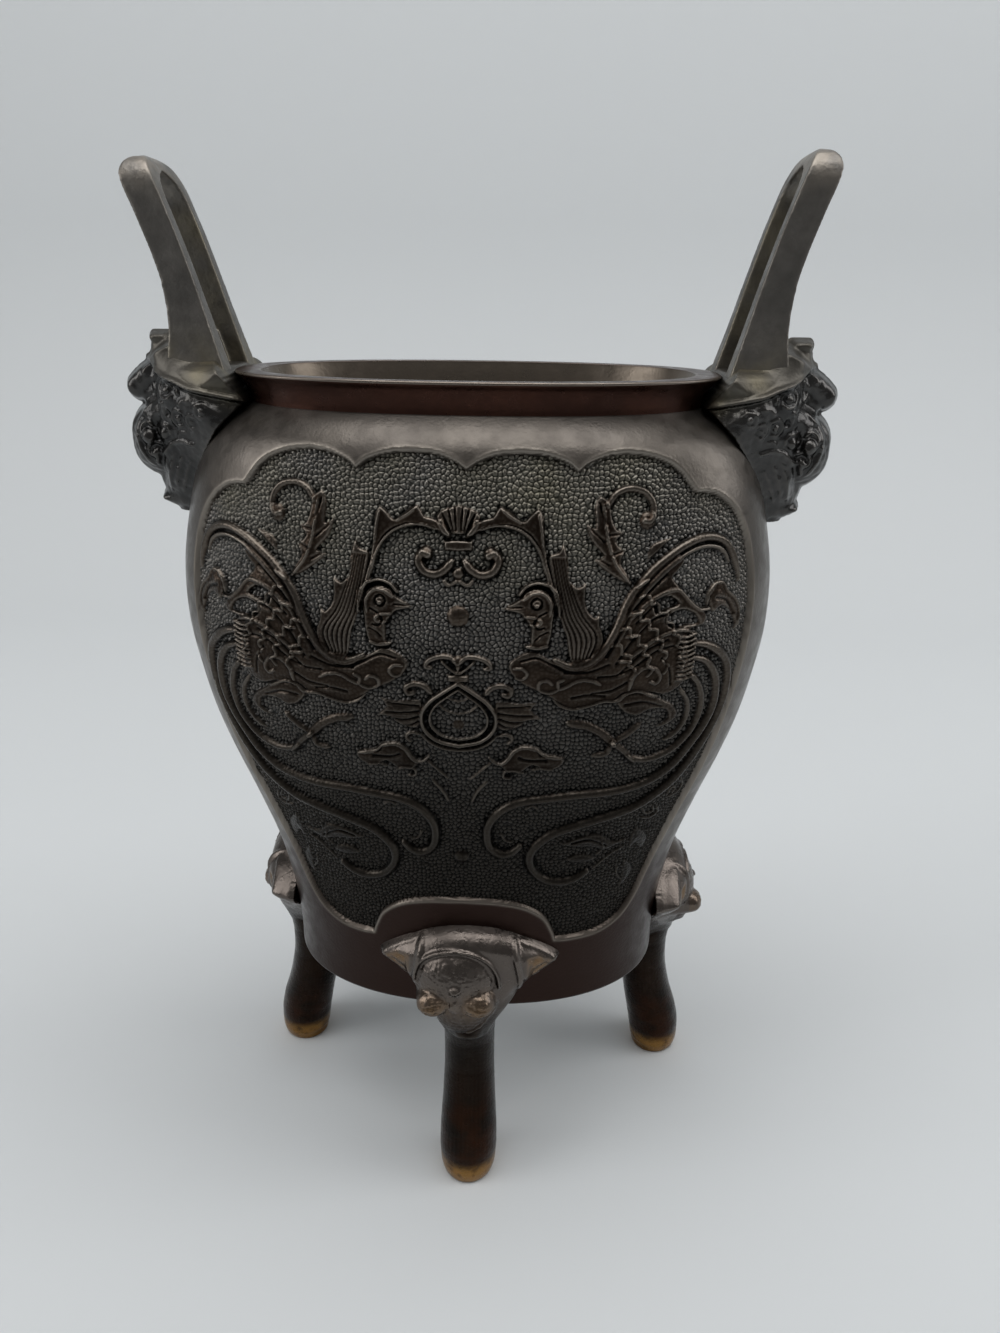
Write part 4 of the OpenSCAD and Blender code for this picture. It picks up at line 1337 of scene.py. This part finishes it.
# Rod of the leg from below the floor to inside the head
LEG_PATH = ((0, -8.2, -0.6), (0, -8.2, 0.5), (0, -8.4, 3), (0, -8, 8), (0, -7, 13), (0, -5, 21),
            (0, -3.6, 30), (0, -3.2, 39), (0, -4, 47), (0, -5, 54))
LEG_RADII = (5.4, 6.1, 6.8, 7.1, 7, 6.5, 6.1, 6.1, 6.6, 7)
LEG_SIDES = 40
LEG_VOXEL = 0.3
LEG_ROUNDS = 2
LEG_EDGE_MARKS = (12, 2)
# Heights where the head's painted light and the lower leg's red tone fade in
HEAD_LIGHT_FADE = (46, 57)
SHIN_FADE = (34, 8)
# Golden places: the lobes, with centre, reach and foremost depth, the ears and the toe
LOBE_AT = (5.1, 55.9)
LOBE_REACH = (3.6, 2.8)
LOBE_FRONT = -11
EAR_FRONT = -2
EAR_FADE = (-0.4, 0.8)
TOE_FADE = (7.5, 4)
LOBE_GOLD = 0.3
EAR_GOLD = 0.35
TOE_GOLD = 0.9


def bulge(across, up, centre, radii, base, rise):
    """A rounded bump: base at its edge, base and rise at its centre, nothing outside it."""
    share = 1 - ((across - centre[0]) / radii[0]) ** 2 - ((up - centre[1]) / radii[1]) ** 2
    return np.where(share > 0, base + rise * np.sqrt(np.clip(share, 0, 1)), 0)


def head_form(across, up):
    """How far a leg's head stands out, the distance inside its edge and where its face is."""
    out = np.abs(across)
    path = smooth_path(HEAD_EDGE, HEAD_STEPS)
    middle = ((-1, HEAD_EDGE[-1][1]), (-1, HEAD_EDGE[0][1]))
    edge = signed_gap(path, np.concatenate((path, middle)), out, up)
    ear = inset_of(EAR, out, up)
    rounding = np.sin(np.clip(edge / COWL_ROUND, 0, 1) * math.pi / 2)
    cowl = (COWL_BASE - COWL_FALL * smoothstep(*COWL_FALL_AT, out) + COWL_RISE * rounding
            - EAR_DEPTH * smoothstep(*EAR_EDGE, ear))
    inward = np.clip(1 - (out / lookup(up, FUNNEL_WIDTH)) ** 2, 0, 1)
    funnel = FUNNEL_BACK + (lookup(up, FUNNEL_FRONT) - FUNNEL_BACK) * np.sqrt(inward)
    funnel = np.where(up < FUNNEL_TOP, funnel, 0)
    from_dome = np.abs(across - DOME_AXIS)
    bumps = [bulge(from_dome, up, *row) for row in DOME_BUMPS]
    face = np.maximum.reduce(bumps + [bulge(across, up, *MUZZLE)])
    form = np.maximum(np.maximum(cowl, funnel), face)
    on_face = face >= form
    return form * np.sqrt(1 - (1 - np.clip(edge / HEAD_ROUND, 0, 1)) ** 2), edge, on_face


def mirrored_lines(relief, lines, axis):
    """Draws lines on both sides of an upright axis."""
    for points, width, height in lines:
        for side in (-1, 1):
            path = [(axis + side * x, z) for x, z in points]
            relief.ridge(path, width, height, HEAD_TAPER, HEAD_TAPER)


def make_leg():
    """A leg with its head, facing -Y; the origin is on the floor under the head's back plane."""
    lines = Relief(HEAD_ACROSS, HEAD_LEVELS)
    mirrored_lines(lines, COWL_LINES, 0)
    mirrored_lines(lines, FACE_LINES, DOME_AXIS)
    slits = Relief(HEAD_ACROSS, HEAD_LEVELS)
    mirrored_lines(slits, LOBE_SLITS, DOME_AXIS)
    across, up = np.meshgrid(lines.across, lines.up)
    form, edge, on_face = head_form(across, up)
    stipple = np.where(on_face, FACE_STIPPLE, COWL_STIPPLE) * grain(across, up, STIPPLE_SEED)
    out = blur(form, HEAD_BLUR) + lines.height - slits.height + stipple
    front = np.stack((across, -out, up), axis=-1)
    bm = bmesh.new()
    sheet_solid(bm, front, front * (1, 0, 1) + (0, 1, 0), edge > 0)
    tube(bm, LEG_PATH, LEG_RADII, LEG_SIDES)
    obj = fused("front_leg_piece", bm, LEG_VOXEL, LEG_ROUNDS)
    points = mesh_points(obj.data)
    points[:, 2] = np.maximum(points[:, 2], 0)
    set_points(obj.data, points)
    edge_wear_light_and_shade(obj.data, *LEG_EDGE_MARKS)
    mark_leg(obj.data, points)
    return obj


def mark_leg(mesh, points):
    """Layers for the painted light of the head, the tone of the lower leg, and golden places."""
    x, y, z = points.T
    aside = (np.abs(x - DOME_AXIS) - LOBE_AT[0]) / LOBE_REACH[0]
    above = (z - LOBE_AT[1]) / LOBE_REACH[1]
    lobe = np.exp(-aside ** 2 - above ** 2) * (y < LOBE_FRONT)
    in_ear = smoothstep(*EAR_FADE, inset_of(EAR, np.abs(x), z)) * (y < EAR_FRONT)
    toe = smoothstep(*TOE_FADE, z)
    gold = np.maximum.reduce((LOBE_GOLD * lobe, EAR_GOLD * in_ear, TOE_GOLD * toe))
    # Painted light on the leg's head, which is lighter than the shank
    set_layer(mesh, "head", smoothstep(*HEAD_LIGHT_FADE, z))
    set_layer(mesh, "low", smoothstep(*SHIN_FADE, z))
    set_layer(mesh, "gold", gold)


# Materials

# Dark and light tone of each casting
BODY_TONES = ((0.075, 0.066, 0.058), (0.100, 0.088, 0.076))
COLLAR_TONES = ((0.028, 0.011, 0.007), (0.048, 0.018, 0.011))
GROUND_TONES = ((0.075, 0.074, 0.072), (0.115, 0.112, 0.108))
FIGURE_TONES = ((0.022, 0.015, 0.011), (0.042, 0.030, 0.022))
HANDLE_TONES = ((0.095, 0.090, 0.083), (0.14, 0.131, 0.12))
MASK_TONES = ((0.036, 0.036, 0.036), (0.070, 0.068, 0.066))
LEG_TONES = ((0.005, 0.003, 0.002), (0.014, 0.007, 0.004))
INSIDE_TONES = ((0.085, 0.070, 0.055), (0.14, 0.118, 0.095))
RIVET_TONES = ((0.10, 0.075, 0.04), (0.16, 0.12, 0.065))

# Tones that lie over them
# Wear on edges, which also stands for painted highlight
WEAR_AND_HIGHLIGHT = (0.24, 0.215, 0.185)
DUST = (0.23, 0.20, 0.13)
GOLD = (0.30, 0.16, 0.045)
# Darker red-brown towards the foot, partly painted shade
FOOT_BROWN_AND_SHADE = (0.020, 0.009, 0.006)
MOUTH_TAN = (0.15, 0.125, 0.10)
# Dust with painted light on the upper ground
GROUND_DUST_AND_LIGHT = (0.13, 0.12, 0.075)
# Painted shade of the lower field and of its hollows
PANEL_SHADE = (0.006, 0.005, 0.004)
PANEL_HOLLOW_SHADE = (0.003, 0.003, 0.003)
HOOD_TONE = (0.095, 0.088, 0.076)
# Painted shade in the mask's hollows
MASK_HOLLOW_SHADE = (0.010, 0.010, 0.010)
SHIN_RED = (0.030, 0.011, 0.005)
# Painted light on the leg's head
LEG_HEAD_LIGHT = (0.12, 0.103, 0.092)
# Painted shade in the leg's hollows
LEG_HOLLOW_SHADE = (0.006, 0.004, 0.004)

# Cloudy patterns: features per metre, detail, and the raw values that become 0 and 1
PATTERNS = {
    "clouds": (70, 4, 0.35, 0.65),
    "specks": (900, 2, 0.35, 0.65),
    "polish": (300, 4, 0.35, 0.65),
    "ground": (120, 4, 0.35, 0.65),
    "ground dust and light": (45, 4, 0.4, 0.7),
    "figure": (90, 4, 0.35, 0.65),
    "dust": (160, 6, 0.3, 0.7),
    "rubbed_and_highlight": (250, 6, 0.35, 0.6),
    "shin": (200, 4, 0.35, 0.65),
    "gold": (420, 5, 0.22, 0.5),
    "body skin": (1500, 3, 0.35, 0.65),
    "panel skin": (2200, 3, 0.35, 0.65),
    "handle skin": (1200, 4, 0.35, 0.65),
    "leg skin": (1400, 4, 0.35, 0.65),
    "inside skin": (800, 4, 0.35, 0.65),
    "rivet skin": (1400, 3, 0.35, 0.65),
}

# Strength and depth in metres of the fine bumps of each skin
SKIN_BUMPS = {
    "body skin": (0.08, 0.0002),
    "panel skin": (0.12, 0.0002),
    "handle skin": (0.12, 0.0003),
    "leg skin": (0.12, 0.0003),
    "inside skin": (0.2, 0.0004),
    "rivet skin": (0.1, 0.0002),
}
# The mix node's colour sockets, by number, because their names repeat
MIX_FIRST = 6
MIX_SECOND = 7
MIX_RESULT = 2
METALLIC = 0.85
SPECK_SHARE = 0.35
# Share of the edge tone: wear with painted highlight
WEAR_AND_HIGHLIGHT_SHARE = 0.55


class Shader:
    """A principled material that is built up node by node."""

    def __init__(self, name, metallic, roughness):
        self.material = bpy.data.materials.new(name)
        self.material.use_nodes = True
        self.nodes = self.material.node_tree.nodes
        self.links = self.material.node_tree.links
        self.surface = self.nodes["Principled BSDF"]
        self.surface.inputs["Metallic"].default_value = metallic
        self.surface.inputs["Roughness"].default_value = roughness
        self.place = self.nodes.new("ShaderNodeTexCoord").outputs["Object"]

    def noise(self, pattern):
        """Cloudy values from 0 to 1."""
        scale, detail, low, high = PATTERNS[pattern]
        node = self.nodes.new("ShaderNodeTexNoise")
        node.inputs["Scale"].default_value = scale
        node.inputs["Detail"].default_value = detail
        self.links.new(self.place, node.inputs["Vector"])
        return self.spread(node.outputs["Fac"], low, high, 0, 1)

    def spread(self, value, low, high, to_low, to_high):
        """The range from low to high, spread over another range."""
        node = self.nodes.new("ShaderNodeMapRange")
        node.inputs["From Min"].default_value = low
        node.inputs["From Max"].default_value = high
        node.inputs["To Min"].default_value = to_low
        node.inputs["To Max"].default_value = to_high
        self.links.new(value, node.inputs["Value"])
        return node.outputs["Result"]

    def between(self, share, low, high):
        """A value from low to high, for a share from 0 to 1."""
        return self.spread(share, 0, 1, low, high)

    def layer(self, name):
        node = self.nodes.new("ShaderNodeAttribute")
        node.attribute_name = name
        return node.outputs["Fac"]

    def times(self, first, second):
        """The product of a socket and a number or another socket."""
        node = self.nodes.new("ShaderNodeMath")
        node.operation = "MULTIPLY"
        self.links.new(first, node.inputs[0])
        if isinstance(second, float):
            node.inputs[1].default_value = second
        else:
            self.links.new(second, node.inputs[1])
        return node.outputs["Value"]

    def mix(self, share, first, second):
        """A colour between two; each is a colour or a socket."""
        node = self.nodes.new("ShaderNodeMix")
        node.data_type = "RGBA"
        self.links.new(share, node.inputs["Factor"])
        for socket, value in ((node.inputs[MIX_FIRST], first), (node.inputs[MIX_SECOND], second)):
            if isinstance(value, tuple):
                socket.default_value = value + (1,)
            else:
                self.links.new(value, socket)
        return node.outputs[MIX_RESULT]

    def tint(self, colour, layer, share, tone):
        """The colour with a tone over it, as strong as a vertex layer times a share."""
        return self.mix(self.times(self.layer(layer), share), colour, tone)

    def finish(self, colour, skin, roughness=None):
        """Links the colour, the fine bumps of the skin and, where it varies, the roughness."""
        self.links.new(colour, self.surface.inputs["Base Color"])
        if roughness is not None:
            self.links.new(roughness, self.surface.inputs["Roughness"])
        node = self.nodes.new("ShaderNodeBump")
        strength, depth = SKIN_BUMPS[skin]
        node.inputs["Strength"].default_value = strength
        node.inputs["Distance"].default_value = depth
        self.links.new(self.noise(skin), node.inputs["Height"])
        self.links.new(node.outputs["Normal"], self.surface.inputs["Normal"])
        return self.material


def bronze(name, tones, roughness, metallic=METALLIC, wear_and_highlight_share=WEAR_AND_HIGHLIGHT_SHARE):
    """A shader with cloudy bronze, and the colour socket that it has so far."""
    shader = Shader(name, metallic, roughness)
    colour = shader.mix(shader.noise("clouds"), *tones)
    colour = shader.mix(shader.times(shader.noise("specks"), SPECK_SHARE), colour, tones[0])
    # Edges get wear with painted highlight
    return shader, shader.tint(colour, "wear_and_highlight", wear_and_highlight_share, WEAR_AND_HIGHLIGHT)


def body_material():
    shader, colour = bronze("body_bronze_look", BODY_TONES, roughness=0.33)
    # Darker red-brown towards the bottom, partly painted shade
    colour = shader.mix(shader.layer("foot"), colour, FOOT_BROWN_AND_SHADE)
    # Painted highlight along the field's lip, laid again over the darker foot
    colour = shader.tint(colour, "wear_and_highlight", 0.7, WEAR_AND_HIGHLIGHT)
    return shader.finish(colour, "body skin", shader.between(shader.noise("polish"), 0.28, 0.42))


def collar_material():
    shader, colour = bronze("collar_bronze_look", COLLAR_TONES, roughness=0.32)
    colour = shader.mix(shader.layer("inner"), colour, MOUTH_TAN)
    return shader.finish(colour, "body skin", shader.between(shader.noise("polish"), 0.26, 0.42))


def panel_material():
    shader = Shader("panel_bronze_look", metallic=1.0, roughness=0.36)
    ground = shader.mix(shader.noise("ground"), *GROUND_TONES)
    # Dust with painted light on the upper ground
    dust = shader.times(shader.layer("dust"), shader.noise("ground dust and light"))
    ground = shader.mix(shader.times(dust, 0.6), ground, GROUND_DUST_AND_LIGHT)
    figure = shader.mix(shader.noise("figure"), *FIGURE_TONES)
    colour = shader.mix(shader.layer("raised"), ground, figure)
    # Painted shade: the field darker towards the bottom
    colour = shader.tint(colour, "low", 0.9, PANEL_SHADE)
    # Painted shade in hollows
    colour = shader.mix(shader.layer("hollow_shade"), colour, PANEL_HOLLOW_SHADE)
    # Wear with painted highlight on crests, weaker in the painted shade low down
    wear_and_highlight = shader.times(shader.layer("wear_and_highlight"), shader.between(shader.layer("raised"), 0.35, 0.5))
    wear_and_highlight = shader.times(wear_and_highlight, shader.between(shader.layer("low"), 1.0, 0.4))
    colour = shader.mix(wear_and_highlight, colour, WEAR_AND_HIGHLIGHT)
    return shader.finish(colour, "panel skin", shader.between(shader.layer("raised"), 0.36, 0.28))


def handle_material():
    shader, colour = bronze("handle_bronze_look", HANDLE_TONES, roughness=0.4)
    colour = shader.tint(colour, "dust", shader.noise("dust"), DUST)
    # Rubbed wear with painted highlight on the loop's top
    colour = shader.tint(colour, "rubbed_and_highlight", shader.noise("rubbed_and_highlight"), WEAR_AND_HIGHLIGHT)
    return shader.finish(colour, "handle skin", shader.between(shader.noise("polish"), 0.34, 0.5))


def mask_material():
    shader, colour = bronze("mask_bronze_look", MASK_TONES, roughness=0.28, metallic=1.0, wear_and_highlight_share=0.35)
    colour = shader.tint(colour, "hood", 0.8, HOOD_TONE)
    # Painted shade in hollows
    colour = shader.tint(colour, "hollow_shade", 0.7, MASK_HOLLOW_SHADE)
    colour = shader.tint(colour, "dust", shader.noise("dust"), DUST)
    return shader.finish(colour, "handle skin", shader.between(shader.layer("hood"), 0.26, 0.45))


def leg_material():
    shader, colour = bronze("leg_bronze_look", LEG_TONES, roughness=0.25, metallic=1.0)
    colour = shader.tint(colour, "low", shader.noise("shin"), SHIN_RED)
    # Painted light on the head
    colour = shader.tint(colour, "head", 0.9, LEG_HEAD_LIGHT)
    # Painted shade in hollows
    colour = shader.tint(colour, "hollow_shade", 0.8, LEG_HOLLOW_SHADE)
    # Edges get wear with painted highlight
    colour = shader.tint(colour, "wear_and_highlight", 0.35, WEAR_AND_HIGHLIGHT)
    colour = shader.tint(colour, "gold", shader.noise("gold"), GOLD)
    return shader.finish(colour, "leg skin", shader.between(shader.noise("polish"), 0.2, 0.36))


def inside_material():
    shader, colour = bronze("inside_bronze_look", INSIDE_TONES, roughness=0.55)
    return shader.finish(colour, "inside skin")


def rivet_material():
    shader, colour = bronze("rivet_bronze_look", RIVET_TONES, roughness=0.4)
    return shader.finish(colour, "rivet skin")


# Pieces on the frame

HALF_TURN = Matrix.Rotation(math.pi, 4, "Z")
# Places of the legs: the front one before the axis, the others at the sides, turned outward
FRONT_SEAT = 26.0
SIDE_SEAT = (43.5, 8.5)
SIDE_TURN = math.radians(98)


def dress(obj, material, node):
    """Gives a piece its look and its body, and hides the imported node that it stands for."""
    obj.data.materials.clear()
    obj.data.materials.append(material)
    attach(obj, "root")
    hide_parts(node)


body_look = body_material()
panel_look = panel_material()
handle_look = handle_material()
mask_look = mask_material()
leg_look = leg_material()
inside_look = inside_material()
rivet_look = rivet_material()

vessel_front = make_body()
vessel_rear = placed_copy(vessel_front, "vessel_rear", HALF_TURN)
dress(vessel_front, body_look, "vessel_body")
dress(vessel_rear, body_look, "vessel_body")
dress(make_inside(), inside_look, "vessel_body")
dress(make_collar(), collar_material(), "rim_collar")

for piece in make_panel():
    rear = placed_copy(piece, piece.name.replace("front", "rear"), HALF_TURN)
    dress(piece, panel_look, "front_relief_panel")
    dress(rear, panel_look, "rear_relief_panel")

plain_loop = make_loop()
right_loop = stretched_copy(plain_loop, "right_loop")
left_loop = mirrored_copy(plain_loop, "left_loop")
bpy.data.objects.remove(plain_loop)
dress(right_loop, handle_look, "right_handle_loop")
dress(left_loop, handle_look, "left_handle_loop")
right_mask = make_mask()
dress(right_mask, mask_look, "right_handle_mask")
dress(mirrored_copy(right_mask, "left_mask"), mask_look, "left_handle_mask")

leg = make_leg()
for side, name in ((-1, "left_leg"), (1, "right_leg")):
    place = Matrix.Translation((side * SIDE_SEAT[0] * MM, SIDE_SEAT[1] * MM, 0))
    copy = placed_copy(leg, name + "_piece", place @ Matrix.Rotation(side * SIDE_TURN, 4, "Z"))
    dress(copy, leg_look, name)
leg.matrix_world = Matrix.Translation((0, -FRONT_SEAT * MM, 0))
dress(leg, leg_look, "front_leg")

dress(make_pins(), rivet_look, "handle_pins")
for name, look in (("floor_plate", inside_look), ("leg_rivets", rivet_look), ("mask_rivets", rivet_look)):
    mesh = nodes[name].data
    for i in range(len(mesh.materials)):
        mesh.materials[i] = look


# Stage, light and camera

STAGE_TONE = (0.56, 0.58, 0.59)
STAGE_ROUGHNESS = 0.9
STAGE_REACH = 1600
STAGE_BEND = 260
STAGE_BEND_STEPS = 16
WALL_PLACE = 620
WALL_TOP = 1700
# Lamps: place, point that they face and size in metres, power in watts
LAMPS = (
    ("top_light", (0.02, -0.12, 1.25), (0, 0.05, 0.1), (1.2, 0.8), 10.5),
    ("left_light", (-0.95, -0.3, 0.6), (0, 0, 0.15), (0.5, 0.8), 4),
    ("right_light", (0.9, 0, 0.65), (0, 0, 0.16), (0.5, 0.8), 3.6),
)
SKY_STRENGTH = 0.21
# Camera: place in metres, turn in degrees, and the lens from a picture's height in pixels
CAMERA_PLACE = (0.012, -0.1952, 0.2046)
CAMERA_YAW = 1.95
CAMERA_PITCH = 22.7
CAMERA_ROLL = 0.7
PICTURE_HEIGHT = 1333
FOCAL_PIXELS = 890
SENSOR = 36.0
NEAREST = 0.01


def make_stage():
    """A pale sheet: floor in front, bent up into a wall behind."""
    side = [(-STAGE_REACH, 0)]
    for turn in np.linspace(0, math.pi / 2, STAGE_BEND_STEPS):
        y = WALL_PLACE - STAGE_BEND + STAGE_BEND * math.sin(turn)
        side.append((y, STAGE_BEND - STAGE_BEND * math.cos(turn)))
    side.append((WALL_PLACE, WALL_TOP))
    points = np.array([[(x, y, z) for x in (-STAGE_REACH, STAGE_REACH)] for y, z in side], float)
    stage = grid_piece("stage_sheet", points)
    shader = Shader("stage_look", metallic=0.0, roughness=STAGE_ROUGHNESS)
    shader.surface.inputs["Base Color"].default_value = STAGE_TONE + (1,)
    stage.data.materials.append(shader.material)


def add_lamp(name, place, target, size, power):
    light = bpy.data.lights.new(name, "AREA")
    light.shape = "RECTANGLE"
    light.size, light.size_y = size
    light.energy = power
    obj = add_object(name, light)
    obj.location = place
    obj.rotation_euler = (Vector(target) - Vector(place)).to_track_quat("-Z", "Y").to_euler()


def add_camera():
    camera = bpy.data.cameras.new("camera")
    camera.sensor_width = SENSOR
    camera.lens = SENSOR * FOCAL_PIXELS / PICTURE_HEIGHT
    camera.clip_start = NEAREST
    yaw, pitch, roll = (math.radians(turn) for turn in (CAMERA_YAW, CAMERA_PITCH, CAMERA_ROLL))
    turn = (Matrix.Rotation(yaw, 4, "Z") @ Matrix.Rotation(math.pi / 2 - pitch, 4, "X")
            @ Matrix.Rotation(roll, 4, "Z"))
    obj = add_object("camera", camera)
    obj.matrix_world = Matrix.Translation(CAMERA_PLACE) @ turn
    bpy.context.scene.camera = obj


def add_sky():
    """An even white surround."""
    world = bpy.data.worlds.new("world")
    world.use_nodes = True
    sky = world.node_tree.nodes["Background"]
    sky.inputs["Color"].default_value = (1, 1, 1, 1)
    sky.inputs["Strength"].default_value = SKY_STRENGTH
    bpy.context.scene.world = world


make_stage()
for lamp in LAMPS:
    add_lamp(*lamp)
add_sky()
add_camera()
bpy.context.scene.view_settings.view_transform = "Standard"
